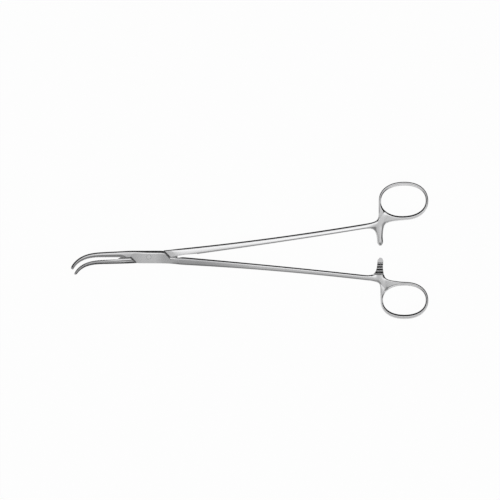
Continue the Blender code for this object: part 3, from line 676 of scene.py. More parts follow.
def lock_rows(plan, s, side):
    """Rows through the lock, drawn full: the cuts give it its shoulders and slot.
    Each station is x, first edge, second edge and half thickness in millimetres, and the section."""
    w = s.lock.half_width / MM
    middle = s.lock.thickness / 2 / MM
    full = middle + GROUND_ALLOWANCE
    if side > 0:
        stations = (
            (-11.5, -0.4, -w - 0.15, middle, LOWER_JAW),
            (-7.5, 0.2, -w, full, LOWER_JAW),
            (0.0, 3.0, -3.0, full, TONGUE_LOCK),
            (7.0, w, -1.2, full, TONGUE_LOCK),
            (12.0, w + 0.3, -1.4, full, TONGUE_LOCK),
            (16.0, w + 0.8, -1.4, full, TONGUE_LOCK),
        )
    else:
        stations = (
            (-12.5, -3.0, w, middle, BOX_END),
            (-9.0, -w, w, full, BOX_END),
            (-2.0, -w, w, full, BOX_LOCK),
            (6.0, -w, w, full, BOX_LOCK),
            (11.5, -w - 0.1, w, full, BOX_LOCK),
            (15.0, -w - 0.3, 1.2, full, BOX_END),
            (18.0, -w - 0.55, -0.1, 2.55, BOX_SHANK),
        )
    return [plan.row((x * MM, a * MM), (x * MM, b * MM), half * MM, section)
            for x, a, b, half, section in stations]


def shank_line(s, handle, share):
    """Centre of the shank, its heading and its left normal. y counts away from the middle line."""
    start = np.array((s.shanks.start, handle.shank_start))
    chord = np.array(handle.shank_end) - start
    normal = np.array((-chord[1], chord[0])) / np.linalg.norm(chord)
    centre = start + chord * share + normal * handle.shank_bow * 4 * share * (1 - share)
    way = chord + normal * handle.shank_bow * 4 * (1 - 2 * share)
    way = way / np.linalg.norm(way)
    return centre, way, np.array((-way[1], way[0]))


def shank_rows(plan, s, handle, side):
    section = TONGUE_SHANK if side > 0 else BOX_SHANK
    rows = []
    for share in SHANK_STATIONS:
        centre, _, normal = shank_line(s, handle, share)
        width = blend(s.shanks.end_width, s.shanks.root_width, (1 - share) ** SHANK_TAPER)
        half = blend(s.shanks.half_thickness, s.shanks.root_half_thickness, (1 - share) ** SHANK_THINNING)
        outer = centre + normal * width / 2
        inner = centre - normal * width / 2
        rows.append(handle_row(plan, side, outer, inner, half, section))
    return rows


# Handle: pad, ratchet arm and finger ring

def handle_row(plan, side, left, right, half, section):
    flip = np.array((1, side))
    return plan.row(np.array(left) * flip, np.array(right) * flip, half, section)


def ring_point(s, handle, degrees, hole, curved=True):
    """A point on the ring's hole or outer edge, drawn out so that the smoothed edge lies on it.
    Where a straight stretch starts, the smoothing doesn't pull the edge in."""
    step = math.radians((360 + RING_JOIN_WEST - RING_JOIN_SOUTH) / RING_STEPS)
    growth = 3 / (2 + math.cos(step)) if curved else 1.0
    half_length, half_width = handle.ring_hole
    centre = np.array(handle.ring_centre)
    if not hole:
        half_length = half_length + s.rings.end_bar
        half_width = half_width + s.rings.side_bar
        centre = centre + (0, handle.ring_shift)
    c = math.cos(math.radians(degrees))
    d = math.sin(math.radians(degrees))
    x = half_length * growth * math.copysign(abs(c) ** (2 / s.rings.power), c)
    y = half_width * growth * math.copysign(abs(d) ** (2 / s.rings.power), d)
    return centre + np.array(turned((x, y), handle.ring_tilt))


def arm_tip(s, side):
    """Middle of the ratchet arm's end: the arms overlap by the ratchet's overlap when closed."""
    if side > 0:
        return np.array(turned((s.ratchet.tip_x, -s.ratchet.box_tip_y - s.ratchet.overlap), s.lock.closing))
    return np.array((s.ratchet.tip_x, s.ratchet.box_tip_y))


def pad_quads(plan, s, side, corners):
    """The pad where shank, arm and ring meet. Each of its four sides takes one bar, with its bevels."""
    south_west, south_east, north_west, north_east = corners
    shank = TONGUE_SHANK if side > 0 else BOX_SHANK
    west = (0.0, *bevel_shares(south_west, north_west, (shank.bevels[1], shank.bevels[0])), 1.0)
    east = (0.0, *bevel_shares(south_east, north_east, RING_BAR.bevels), 1.0)
    lines = []
    for u, (low, high) in enumerate(zip(west, east)):
        start = blend(south_west, north_west, low)
        end = blend(south_east, north_east, high)
        bevels = blend(np.array(ARM_BAR.bevels), np.array(RING_BAR.bevels), u / 3)
        line = []
        for v, share in enumerate((0.0, *bevel_shares(start, end, bevels), 1.0)):
            x, y = blend(start, end, share)
            corner = u in (0, 3) and v in (0, 3)
            half = s.rings.pad_half_thickness * (PAD_CORNER if corner else 1.0)
            line.append(plan.point(x, y * side, half))
        lines.append(line)
    plan.join(lines, crease=0.0)
    return lines


def arm_rows(plan, s, side, south_west, down, across):
    """Rows down the ratchet arm, rounded off at its tip."""
    tip = arm_tip(s, side)
    half = s.rings.pad_half_thickness
    arm_left = tip - across * s.ratchet.arm_width / 2
    arm_right = tip + across * s.ratchet.arm_width / 2
    reach = float(np.dot(tip - south_west, down))
    rows = []
    for share in (FILLET_REACH / reach, *ARM_STATIONS):
        setback = ARM_SETBACK if share == 1.0 else 0.0
        left = blend(south_west, arm_left, share) - down * setback
        right = arm_right - down * ((1 - share) * reach + setback)
        rows.append(handle_row(plan, side, left, right, half, ARM_BAR))
    round_off = across * ARM_ROUND_OFF
    past = down * ARM_ROUND_PAST
    rows.append(handle_row(plan, side, arm_left + round_off + past, arm_right - round_off + past,
                           half * ARM_END_THINNING, ARM_END))
    return rows


def ring_rows(plan, s, handle, side, corners, side_top, foot_end):
    """Rows round the finger ring, from the pad's north side to its east side."""
    south_east = corners[1]
    north_west = corners[2]
    half = s.rings.half_thickness
    rows = []
    for share in (1 / 3, 2 / 3):
        outer = blend(north_west, side_top, share)
        inner = ring_point(s, handle, blend(RING_CORNER, RING_JOIN_WEST, share), True)
        rows.append(handle_row(plan, side, outer, inner, half, RING_BAR))
    for i in range(RING_STEPS + 1):
        degrees = blend(RING_JOIN_WEST, RING_JOIN_SOUTH - 360, i / RING_STEPS)
        outer = ring_point(s, handle, degrees, False, curved=0 < i < RING_STEPS)
        inner = ring_point(s, handle, degrees, True)
        rows.append(handle_row(plan, side, outer, inner, half, RING_BAR))
    for share in (2 / 3, 1 / 3):
        outer = blend(south_east, foot_end, share)
        inner = ring_point(s, handle, blend(RING_CORNER, RING_JOIN_SOUTH, share), True)
        rows.append(handle_row(plan, side, outer, inner, half, RING_BAR))
    return rows


def build_handle(plan, s, handle, side, last_row):
    """Pad, arm and ring behind the last row of the shank. The pad's corners are filled outwards."""
    end, way, normal = shank_line(s, handle, 1.0)
    lean = s.ratchet.arm_lean
    down = np.array((math.sin(lean), -math.cos(lean)))
    across = np.array((-down[1], down[0]))
    tip = arm_tip(s, side)
    half_arm = across * s.ratchet.arm_width / 2
    side_top = ring_point(s, handle, RING_JOIN_WEST, False, curved=False)
    foot_end = ring_point(s, handle, RING_JOIN_SOUTH, False, curved=False)
    foot_way = (math.cos(s.rings.foot_slope), math.sin(s.rings.foot_slope))
    half_shank = normal * s.shanks.end_width / 2

    corners = (
        crossing(end - half_shank, way, tip - half_arm, down),
        crossing(tip + half_arm, down, foot_end, foot_way),
        crossing(end + half_shank, way, side_top, (0, 1)),
        ring_point(s, handle, RING_CORNER, True),
    )
    filled = (
        corners[0] + (down - way) * ARM_FILLET,
        corners[1] + (down + foot_way) * FOOT_FILLET,
        corners[2] + (np.array((0, 1)) - way) * RING_FILLET,
        corners[3],
    )
    pad = pad_quads(plan, s, side, filled)
    near_outer = corners[2] - way * FILLET_REACH
    near_inner = corners[0] - way * FILLET_REACH
    near_section = TONGUE_SHANK if side > 0 else BOX_SHANK
    near = handle_row(plan, side, near_outer, near_inner, s.rings.pad_half_thickness, near_section)
    plan.join([last_row, near, [line[0] for line in reversed(pad)]])
    plan.join([pad[0]] + arm_rows(plan, s, side, corners[0], down, across))
    ring = ring_rows(plan, s, handle, side, corners, side_top, foot_end)
    plan.join([pad[3]] + ring + [[line[3] for line in pad]], crease=RING_BEVEL_CREASE)


# Solids and cuts

def prism(name, outline, low, high):
    """An upright cutter on a plan outline, between two heights."""
    bm = bmesh.new()
    verts = [bm.verts.new((x, y, low)) for x, y in outline]
    face = bm.faces.new(verts)
    raise_face(bm, face, (0, 0, high - low))
    return cutter(name, bm)


def raise_face(bm, face, shift):
    """Extrudes one face into a closed solid."""
    result = bmesh.ops.extrude_face_region(bm, geom=[face])
    moved = [item for item in result["geom"] if isinstance(item, bmesh.types.BMVert)]
    bmesh.ops.translate(bm, verts=moved, vec=shift)
    bmesh.ops.recalc_face_normals(bm, faces=bm.faces)


def cutter(name, bm):
    """A tool for the cuts. Its own grain lies in the plan."""
    grain_layer = bm.loops.layers.uv.new("grain")
    for face in bm.faces:
        for loop in face.loops:
            loop[grain_layer].uv = (loop.vert.co.x, loop.vert.co.y + loop.vert.co.z)
    piece = new_piece(name, bm)
    piece.hide_render = True
    return piece


def bore(name, s):
    """The pin's hole, cut from well below the lock to well above it."""
    return prism(name, circle(s.lock.pin_radius + BORE_CLEARANCE), -s.lock.thickness, 2 * s.lock.thickness)


def lathed(profile, steps, inward=False):
    """Rings of points round the Z axis with a skin between them, open at both ends."""
    bm = bmesh.new()
    rings = [[bm.verts.new((x, y, height)) for x, y in circle(radius, steps)] for radius, height in profile]
    for low, high in zip(rings, rings[1:]):
        for i in range(steps):
            a, b = (i, (i + 1) % steps)
            if inward:
                a, b = (b, a)
            bm.faces.new((low[a], low[b], high[b], high[a]))
    return bm, rings


def rack(name, s, side):
    """The cut that leaves half the arm's thickness, with the ratchet's teeth across it."""
    ratchet = s.ratchet
    tip_y = float(arm_tip(s, side)[1])
    face = -ratchet.clearance
    root = face - ratchet.tooth_depth
    first = tip_y + ratchet.first_tooth
    profile = [(tip_y - RACK_DEPTH, RACK_DEPTH), (tip_y - RACK_DEPTH, face), (first - TOOTH_LAND, face)]
    for i in range(ratchet.tooth_count):
        start = first + i * ratchet.tooth_pitch
        last = i == ratchet.tooth_count - 1
        profile.append((start, root))
        profile.append((start + TOOTH_ROOT, root))
        profile.append((start + ratchet.tooth_pitch - TOOTH_LAND, RACK_DEPTH if last else face))
    bm = bmesh.new()
    low_x = ratchet.tip_x - RACK_WIDTH / 2 * ratchet.arm_width
    middle = s.lock.thickness / 2
    verts = [bm.verts.new((low_x, y * side, middle - side * z)) for y, z in profile]
    raise_face(bm, bm.faces.new(verts), (RACK_WIDTH * ratchet.arm_width, 0, 0))
    return cutter(name, bm)


def edge_break(name, line, width, height):
    """A bar with a diamond section along a line in the plan, which takes off an edge there."""
    start = np.array(line[0])
    end = np.array(line[1])
    way = (end - start) / np.linalg.norm(end - start)
    x, y = start - way * width
    depth = width * EDGE_BREAK_SLOPE
    side = np.array((way[1], -way[0])) * width
    bm = bmesh.new()
    corners = ((side[0], side[1], 0), (0, 0, depth), (-side[0], -side[1], 0), (0, 0, -depth))
    verts = [bm.verts.new((x + a, y + b, height + c)) for a, b, c in corners]
    run = end - start + way * width
    raise_face(bm, bm.faces.new(verts), (run[0], run[1], 0))
    return cutter(name, bm)


def shoulder_edges(name, s, angle):
    """Cuts along both shoulders of one half, on both faces of the lock."""
    lock = s.lock
    front = shoulder_line(lock.front_inner, lock.front_outer, angle, EDGE_BREAK_OFFSET)
    rear = shoulder_line(lock.rear_inner, lock.rear_outer, angle, EDGE_BREAK_OFFSET)
    cuts = []
    for place_name, line in (("front", front), ("rear", rear)):
        for height in (0.0, lock.thickness):
            bar = edge_break(f"{name}_{place_name}_edge", line, lock.edge_break, height)
            cuts.append(("DIFFERENCE", bar))
    return cuts


def ground_faces(name, s):
    """The slab between the two ground faces of the lock."""
    low, high = CAD_BOX
    margin = 2 * FAR
    outline = ((low.x - margin, low.y - margin), (high.x + margin, low.y - margin),
               (high.x + margin, high.y + margin), (low.x - margin, high.y + margin))
    return prism(name, outline, 0.0, s.lock.thickness)


def cut_steel(piece, steps):
    """Smooths the cage, makes the cuts in order, and keeps the result as the piece's own mesh."""
    smooth = piece.modifiers.new("smooth", "SUBSURF")
    smooth.levels = SMOOTHING
    smooth.render_levels = SMOOTHING
    for operation, tool in steps:
        modifier = piece.modifiers.new(tool.name, "BOOLEAN")
        modifier.operation = operation
        modifier.solver = "EXACT"
        modifier.object = tool
    bpy.context.view_layer.update()
    shaped = piece.evaluated_get(bpy.context.evaluated_depsgraph_get())
    mesh = bpy.data.meshes.new_from_object(shaped)
    piece.modifiers.clear()
    piece.data = mesh
    for _, tool in steps:
        bpy.data.objects.remove(tool, do_unlink=True)
    mesh.materials.clear()
    mesh.shade_smooth()
    mesh.set_sharp_from_angle(angle=SHARP_ANGLE)
    weighted = piece.modifiers.new("flat_faces_stay_flat", "WEIGHTED_NORMAL")
    weighted.keep_sharp = True
    return piece


def forging(name, s, handle, side):
    """The uncut steel of one half: one cage from jaw tip to finger ring."""
    plan = Plan(s.lock.thickness / 2)
    rows = jaw_rows(plan, s, side) + lock_rows(plan, s, side) + shank_rows(plan, s, handle, side)
    plan.join(rows)
    build_handle(plan, s, handle, side, rows[-1])
    return plan.solid(name)


def dress(piece, body, node, material):
    """Gives a piece its finish and its place: on a body, for a CAD node."""
    piece.data.materials.append(material)
    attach(piece, body)
    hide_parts(node)


# Materials

class Value:
    """A shader socket that takes part in sums: mask * 0.4 + 0.1 adds the Math nodes it needs."""

    def __init__(self, graph, socket):
        self.graph = graph
        self.socket = socket

    def maths(self, operation, first, second):
        return self.graph.node("ShaderNodeMath", {"operation": operation}, {0: first, 1: second})

    def beside(self, name):
        """Another output of the same node."""
        return Value(self.graph, self.socket.node.outputs[name])

    def __add__(self, other):
        return self.maths("ADD", self, other)

    __radd__ = __add__

    def __sub__(self, other):
        return self.maths("SUBTRACT", self, other)

    def __rsub__(self, other):
        return self.maths("SUBTRACT", other, self)

    def __mul__(self, other):
        return self.maths("MULTIPLY", self, other)

    __rmul__ = __mul__


class Graph:
    """The nodes of one material or of the world."""

    def __init__(self, tree):
        self.tree = tree
        self.tree.nodes.clear()

    def node(self, kind, settings=None, inputs=None, output=0):
        """Adds a node: its settings first, then the values or links of its sockets."""
        node = self.tree.nodes.new(kind)
        node.location = (220 * (len(self.tree.nodes) % 6), -220 * (len(self.tree.nodes) // 6))
        for name, value in (settings or {}).items():
            if name == "stops":
                set_stops(node.color_ramp, value)
            else:
                setattr(node, name, value)
        for key, value in (inputs or {}).items():
            if isinstance(value, Value):
                self.tree.links.new(value.socket, node.inputs[key])
            else:
                node.inputs[key].default_value = value
        return Value(self, node.outputs[output]) if len(node.outputs) else None

    def noise(self, vector, scale, detail):
        return self.node("ShaderNodeTexNoise", {}, {"Vector": vector, "Scale": scale, "Detail": detail})

    def stretched(self, vector, stretch):
        return self.node("ShaderNodeMapping", {}, {"Vector": vector, "Scale": stretch})

    def mixed(self, share, first, second):
        """The first colour where the share is 0, and the second where it is 1."""
        return self.node("ShaderNodeMix", {"data_type": "RGBA"}, {0: share, 6: first, 7: second}, output=2)

    def faded(self, value, low, high, at_low, at_high):
        """Goes from at_low to at_high while the value goes from low to high, and stays there."""
        return self.node("ShaderNodeMapRange", {"clamp": True}, {
            "Value": value, "From Min": low, "From Max": high, "To Min": at_low, "To Max": at_high})

    def surface(self, shader):
        self.node("ShaderNodeOutputMaterial", {}, {"Surface": shader})


def set_stops(ramp, stops):
    """Gives a ramp its stops, each a place and a grey."""
    while len(ramp.elements) > 1:
        ramp.elements.remove(ramp.elements[-1])
    for i, (position, grey) in enumerate(stops):
        element = ramp.elements[0] if i == 0 else ramp.elements.new(position)
        element.position = position
        element.color = (grey, grey, grey, 1.0)


def tint(rgb, brightness):
    """An opaque colour, darker or lighter than the given one."""
    return (*(min(part * brightness, 1.0) for part in rgb), 1.0)


def shader_graph(name):
    material = bpy.data.materials.new(name)
    material.use_nodes = True
    return material, Graph(material.node_tree)


# Depth of the painted shade by place along the instrument, from the jaws' tips to the middle of the
# shanks: deep on the jaws, light on the box and none on the handles. On the box half it is deepest
# behind the box. It is shade painted into the steel's colour, not a darker satin
PAINTED_SHADE_FROM = -60.0 * MM
PAINTED_SHADE_TO = 80.0 * MM
BOX_PAINTED_SHADE = (
    (0.0, 0.7), (0.13, 0.7), (0.24, 0.45), (0.34, 0.6), (0.40, 0.15), (0.46, 0.15),
    (0.50, 0.70), (0.57, 0.90), (0.68, 1.0), (0.80, 0.6), (0.96, 0.0))
TONGUE_PAINTED_SHADE = (
    (0.0, 0.8), (0.13, 0.8), (0.24, 0.40), (0.34, 0.35), (0.40, 0.15), (0.48, 0.30), (0.57, 0.0))
WHITE = (1.0, 1.0, 1.0, 1.0)
PAINTED_SHADE_TONE = (0.05, 0.05, 0.055, 1.0)
PAINTED_CREVICE_TONE = (0.03, 0.03, 0.03, 1.0)
# The crevices' shade is lessened to this share from the middle of the shanks to the racks
CREVICE_LEFT = 0.6
CREVICE_FADE = (60.0 * MM, 140.0 * MM)

# Scales of the marks: along a bar and across it on the halves, along x, y and z on the pin
BRUSH_MARKS = (260.0, 5200.0, 1.0)
LONG_MARKS = (45.0, 2600.0, 1.0)
CLOUDS = 120.0
PIN_MARKS = (300.0, 5200.0, 300.0)
PIN_RINGS = 900.0
RAY_SAMPLES = 6


def brushed_steel(name, finish, roughness, painted_shade_along):
    """Satin steel: brush marks along the bars, faint clouding, and edges worn a little brighter, with shade
    painted into the colour: darker by place along the instrument, and darker in the crevices.
    """
    material, graph = shader_graph(name)
    grain = graph.node("ShaderNodeUVMap", {"uv_map": "grain"})
    body = graph.node("ShaderNodeTexCoord", output=3)
    marks = graph.noise(graph.stretched(grain, BRUSH_MARKS), 1.0, 4.0)
    long_marks = graph.noise(graph.stretched(grain, LONG_MARKS), 1.0, 2.0)
    clouds = graph.noise(body, CLOUDS, 3.0)

    edge = graph.node("ShaderNodeBevel", {"samples": RAY_SAMPLES}, {"Radius": finish.edge_radius})
    flat = graph.node("ShaderNodeNewGeometry", output=1)
    facing = graph.node("ShaderNodeVectorMath", {"operation": "DOT_PRODUCT"}, {0: edge, 1: flat}, output=1)
    worn = graph.faded(1.0 - facing, 0.02, 0.25, 0.0, 1.0)

    shade = clouds * 0.30 + marks * 0.25 + long_marks * 0.20 + worn * 0.35
    open_steel = graph.mixed(shade, tint(finish.colour, 0.86), tint(finish.colour, 1.12))
    along = graph.node("ShaderNodeSeparateXYZ", {}, {"Vector": body})
    # Painted shade: the colour is darkened towards a dark tone by place along the instrument, deepest on the
    # jaws and at the lock
    place_along = along * (1.0 / (PAINTED_SHADE_TO - PAINTED_SHADE_FROM)) - PAINTED_SHADE_FROM / (PAINTED_SHADE_TO - PAINTED_SHADE_FROM)
    satin = graph.node("ShaderNodeValToRGB", {"stops": painted_shade_along}, {"Fac": place_along})
    satin_steel = graph.mixed(satin * finish.jaw_painted_shade, open_steel, PAINTED_SHADE_TONE)

    # Painted shade: ambient occlusion darkens the colour in crevices, less so from the middle of the shanks
    # to the racks
    free_sky = graph.node("ShaderNodeAmbientOcclusion", {"samples": RAY_SAMPLES},
                          {"Distance": finish.crevice_reach}, output=1)
    painted_crevice_shade = graph.faded(free_sky, 0.35, 0.85, 1.0, 0.0)
    crevice_shade_along = graph.faded(along, *CREVICE_FADE, 1.0, CREVICE_LEFT)
    tone = graph.mixed(painted_crevice_shade * crevice_shade_along * finish.crevice_shade, satin_steel, PAINTED_CREVICE_TONE)

    rough = roughness - 0.08 + marks * 0.09 + clouds * 0.07 - worn * 0.05
    height = marks * 0.6 + long_marks * 0.4
    normal = graph.node("ShaderNodeBump", {}, {
        "Height": height, "Distance": finish.grain_depth, "Strength": 1.0, "Normal": edge})
    graph.surface(graph.node("ShaderNodeBsdfPrincipled", {}, {
        "Base Color": tone, "Metallic": 1.0, "Roughness": rough, "Normal": normal}))
    return material


def pin_steel(name, finish):
    """The pin's ends, ground flush: turned rings round the axis, crossed by the grinding marks."""
    material, graph = shader_graph(name)
    body = graph.node("ShaderNodeTexCoord", output=3)
    rings = graph.node("ShaderNodeTexWave", {"wave_type": "RINGS", "rings_direction": "Z"},
                       {"Vector": body, "Scale": PIN_RINGS, "Distortion": 2.0, "Detail": 2.0})
    ground = graph.noise(graph.stretched(body, PIN_MARKS), 1.0, 4.0)
    shade = ground * 0.6 + rings * 0.2
    tone = graph.mixed(shade, tint(finish.colour, 0.9), tint(finish.colour, 1.08))
    normal = graph.node("ShaderNodeBump", {}, {
        "Height": ground * 0.7 + rings * 0.3, "Distance": finish.grain_depth, "Strength": 1.0})
    rough = finish.roughness - 0.05 + ground * 0.1
    graph.surface(graph.node("ShaderNodeBsdfPrincipled", {}, {
        "Base Color": tone, "Metallic": 1.0, "Roughness": rough, "Normal": normal}))
    return material


def seen_directly(graph):
    """1 where the camera sees the surface, straight or in metal or glass, and 0 for other light."""
    path = graph.node("ShaderNodeLightPath")
    camera = path.beside("Is Camera Ray")
    glossy = path.beside("Is Glossy Ray")
    through = path.beside("Is Transmission Ray")
    return camera.maths("MAXIMUM", camera, camera.maths("MAXIMUM", glossy, through))


def floor_material(look):
    """A pale table that shows nearly white, with a soft trace of the instrument's shadow."""
    material, graph = shader_graph("pale_table")
    diffuse = graph.node("ShaderNodeBsdfDiffuse", {}, {"Color": (*look.floor, 1.0)})
    glow = graph.node("ShaderNodeEmission", {}, {"Color": WHITE, "Strength": 1.0})
    share = seen_directly(graph) * look.floor_glow
    graph.surface(graph.node("ShaderNodeMixShader", {}, {0: share, 1: diffuse, 2: glow}))
    return material


# Stage

TENT_RADIUS = 3.0
TENT_RIM = 0.35
TENT_ROWS = 24
TENT_SEAMS = 64
TENT_CROWN = math.pi / 2 - 0.01
# How steeply the tent turns from its grey side to its dark side, across and along the instrument
TENT_ACROSS = 2.5
TENT_ALONG = 0.3
FLOOR_RADIUS = 12.0
FLOOR_DROP = 0.02 * MM
WORLD_LIGHT = 0.4
KEY_LENGTH = 1.2
KEY_WIDTH = 0.5
KEY_PLACE = (0.0, 0.75, 1.15)
KEY_TARGET = (0.06, 0.0, 0.0)
LENS = 200.0
SENSOR = 36.0
CLIP_START = 0.01
CLIP_END = 100.0

# Brightness of the tent by height over its radius, on the side behind the upper ring and on the
# side in front of the lower jaw
TENT_DARK_SIDE = (
    (0.0, 0.0), (0.78, 0.0), (0.85, 0.10), (0.915, 1.20), (0.965, 1.75), (0.990, 1.45), (1.0, 0.85))
TENT_GREY_SIDE = (
    (0.0, 0.05), (0.36, 0.08), (0.46, 1.10), (0.58, 1.35), (0.66, 0.90), (0.74, 0.45),
    (0.90, 0.38), (0.965, 0.28), (0.985, 0.35), (0.997, 0.62), (1.0, 0.80))


def tent_material(look):
    """Cloth of the light tent: bright shoulder and black skirt on one side, greyer on the other."""
    material, graph = shader_graph("tent_cloth")
    place_on_tent = graph.node("ShaderNodeTexCoord", output=3)
    along = graph.node("ShaderNodeSeparateXYZ", {}, {"Vector": place_on_tent})
    across = along.beside("Y")
    height = along.beside("Z") * (1.0 / TENT_RADIUS)
    side = graph.node("ShaderNodeMath", {"operation": "ADD", "use_clamp": True}, {
        0: across * (TENT_ACROSS / TENT_RADIUS) + along * (TENT_ALONG / TENT_RADIUS), 1: 0.5})
    dark_side = graph.node("ShaderNodeValToRGB", {"stops": TENT_DARK_SIDE}, {"Fac": height})
    grey_side = graph.node("ShaderNodeValToRGB", {"stops": TENT_GREY_SIDE}, {"Fac": height})
    cloth = graph.mixed(side, grey_side, dark_side)
    graph.surface(graph.node("ShaderNodeEmission", {}, {"Color": cloth, "Strength": look.tent_level}))
    return material


def disc(name, radius, height):
    bm = bmesh.new()
    verts = [bm.verts.new((x, y, height)) for x, y in circle(radius)]
    bm.faces.new(verts)
    return new_piece(name, bm)


def tent(look):
    """A dome of cloth, open below its rim. The camera looks through it, and metal shows it."""
    rim = math.asin(TENT_RIM / TENT_RADIUS)
    tilts = [blend(rim, TENT_CROWN, i / TENT_ROWS) for i in range(TENT_ROWS + 1)]
    profile = [(TENT_RADIUS * math.cos(tilt), TENT_RADIUS * math.sin(tilt)) for tilt in tilts]
    bm, rings = lathed(profile, TENT_SEAMS, inward=True)
    bm.faces.new(list(reversed(rings[-1])))
    piece = new_piece("light_tent", bm)
    piece.data.materials.append(tent_material(look))
    piece.visible_camera = False
    piece.visible_shadow = False
    return piece


def pale_world(scene):
    """Plain white where the camera or metal sees past the tent, and soft grey as a light."""
    world = bpy.data.worlds.new("pale_surround")
    world.use_nodes = True
    graph = Graph(world.node_tree)
    strength = WORLD_LIGHT + seen_directly(graph) * (1.0 - WORLD_LIGHT)
    background = graph.node("ShaderNodeBackground", {}, {"Color": WHITE, "Strength": strength})
    graph.node("ShaderNodeOutputWorld", {}, {"Surface": background})
    scene.world = world


def key_lamp(look):
    """One wide soft lamp from behind the instrument's upper side."""
    data = bpy.data.lights.new("key_lamp", "AREA")
    data.shape = "RECTANGLE"
    data.size = KEY_LENGTH
    data.size_y = KEY_WIDTH
    data.energy = look.key_power
    lamp = bpy.data.objects.new("key_lamp", data)
    lamp.location = KEY_PLACE
    bpy.context.collection.objects.link(lamp)
    aim(lamp, KEY_TARGET)


def aim(thing, target):
    """Turns a lamp towards a point."""
    from_here = np.array(target) - np.array(thing.location)
    thing.rotation_euler = (
        math.atan2(math.hypot(from_here[0], from_here[1]), -from_here[2]),
        0.0,
        math.atan2(-from_here[0], from_here[1]),
    )


def camera_above(s, scene):
    """A long lens straight above the instrument, with the picture's upper edge to +Y."""
    look = s.studio
    data = bpy.data.cameras.new("camera")
    data.lens = LENS
    data.sensor_width = SENSOR
    camera = bpy.data.objects.new("camera", data)
    distance = look.view_width * LENS / SENSOR
    camera.location = (look.view_centre[0], look.view_centre[1], s.lock.thickness / 2 + distance)
    data.clip_start = CLIP_START
    data.clip_end = CLIP_END
    bpy.context.collection.objects.link(camera)
    scene.camera = camera


# Operators

# How much less rough the half with the tongue is
TONGUE_POLISH = 0.02


def slot_heights(s, clearance):
    """Lower and upper face of what lies in the slot, with the clearance to the slot's own."""
    middle = s.lock.thickness / 2
    return middle - s.lock.slot_height / 2 + clearance, middle + s.lock.slot_height / 2 - clearance


class FORCEPS_OT_box_half(Operator):
    """Build the half with the box, its jaw, shank, rack and finger ring"""

    bl_idname = "forceps.box_half"
    bl_label = "Box half"

    def execute(self, context):
        s = context.scene.forceps
        piece = forging("box_half_steel", s, s.box_handle, -1)
        cut_steel(piece, (
            ("DIFFERENCE", prism("front_cut", box_half_front_cut(s), -FAR, FAR)),
            ("DIFFERENCE", prism("rear_cut", box_half_rear_cut(s), -FAR, FAR)),
            ("DIFFERENCE", prism("slot", slot_outline(s), *slot_heights(s, 0.0))),
            ("DIFFERENCE", bore("box_bore", s)),
            ("DIFFERENCE", rack("box_rack", s, -1)),
            ("INTERSECT", ground_faces("box_faces", s)),
            *shoulder_edges("box", s, 0),
        ))
        steel = brushed_steel("satin_steel", s.steel, s.steel.roughness, BOX_PAINTED_SHADE)
        dress(piece, "fixed_half", "box_half", steel)
        return {"FINISHED"}


class FORCEPS_OT_tongue_half(Operator):
    """Build the half with the tongue, its jaw, shank, rack and finger ring"""

    bl_idname = "forceps.tongue_half"
    bl_label = "Tongue half"

    def execute(self, context):
        s = context.scene.forceps
        piece = forging("tongue_half_steel", s, s.tongue_handle, 1)
        cut_steel(piece, (
            ("DIFFERENCE", prism("half_cut", tongue_half_cut(s), -FAR, FAR)),
            ("UNION", prism("tongue", tongue_outline(s), *slot_heights(s, SLOT_CLEARANCE))),
            ("DIFFERENCE", bore("tongue_bore", s)),
            ("DIFFERENCE", rack("tongue_rack", s, 1)),
            ("INTERSECT", ground_faces("tongue_faces", s)),
            *shoulder_edges("tongue", s, s.lock.closing),
        ))
        steel = brushed_steel("bright_steel", s.steel, s.steel.roughness - TONGUE_POLISH, TONGUE_PAINTED_SHADE)
        dress(piece, "moving_half", "tongue_half", steel)
        return {"FINISHED"}


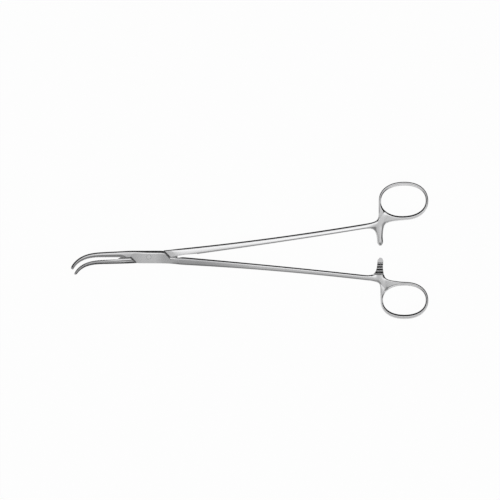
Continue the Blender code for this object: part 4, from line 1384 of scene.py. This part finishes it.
class FORCEPS_OT_lock_pin(Operator):
    """Build the pin, riveted and ground flush with both faces of the lock"""

    bl_idname = "forceps.lock_pin"
    bl_label = "Lock pin"

    def execute(self, context):
        s = context.scene.forceps
        top = s.lock.thickness
        radius = s.lock.pin_radius
        end_radius = radius - PIN_CHAMFER
        profile = ((end_radius, 0.0), (radius, PIN_CHAMFER), (radius, top - PIN_CHAMFER), (end_radius, top))
        bm, rings = lathed(profile, ROUND_STEPS)
        bm.faces.new(list(reversed(rings[0])))
        bm.faces.new(rings[-1])
        piece = new_piece("lock_pin_steel", bm)
        piece.data.set_sharp_from_angle(angle=SHARP_ANGLE)
        dress(piece, "fixed_half", "lock_pin", pin_steel("pin_steel", s.steel))
        return {"FINISHED"}


class FORCEPS_OT_studio(Operator):
    """Build the table, the light tent, the key lamp and the camera"""

    bl_idname = "forceps.studio"
    bl_label = "Studio"

    def execute(self, context):
        scene = context.scene
        s = scene.forceps
        scene.view_settings.view_transform = "Standard"
        table = disc("table", FLOOR_RADIUS, -FLOOR_DROP)
        table.data.materials.append(floor_material(s.studio))
        tent(s.studio)
        pale_world(scene)
        key_lamp(s.studio)
        camera_above(s, scene)
        return {"FINISHED"}


def own_names(group):
    """The properties that a group of settings declares itself, in their order."""
    return [name for name in group.bl_rna.properties.keys() if name not in ("rna_type", "name")]


class FORCEPS_PT_panel(Panel):
    """Lists the pieces, their sizes and the studio"""

    bl_idname = "FORCEPS_PT_panel"
    bl_label = "Ligature forceps"
    bl_space_type = "VIEW_3D"
    bl_region_type = "UI"
    bl_category = "Forceps"

    def draw(self, context):
        settings = context.scene.forceps
        layout = self.layout
        for group in own_names(settings):
            box = layout.box()
            box.label(text=group.replace("_", " ").capitalize())
            values = getattr(settings, group)
            for name in own_names(values):
                box.prop(values, name)
        for operator in OPERATORS:
            layout.operator(operator.bl_idname)


SETTINGS = (LockSizes, JawSizes, ShankSizes, RatchetSizes, RingSizes, BoxHandleSizes, TongueHandleSizes,
            SteelFinish, StudioLook, ForcepsSettings)
OPERATORS = (FORCEPS_OT_studio, FORCEPS_OT_box_half, FORCEPS_OT_tongue_half, FORCEPS_OT_lock_pin)


def register():
    for item in SETTINGS + OPERATORS + (FORCEPS_PT_panel,):
        bpy.utils.register_class(item)
    bpy.types.Scene.forceps = PointerProperty(type=ForcepsSettings)


def unregister():
    del bpy.types.Scene.forceps
    for item in reversed(SETTINGS + OPERATORS + (FORCEPS_PT_panel,)):
        bpy.utils.unregister_class(item)


def main():
    register()
    bpy.ops.forceps.studio()
    bpy.ops.forceps.box_half()
    bpy.ops.forceps.tongue_half()
    bpy.ops.forceps.lock_pin()


if __name__ == "__main__":
    main()
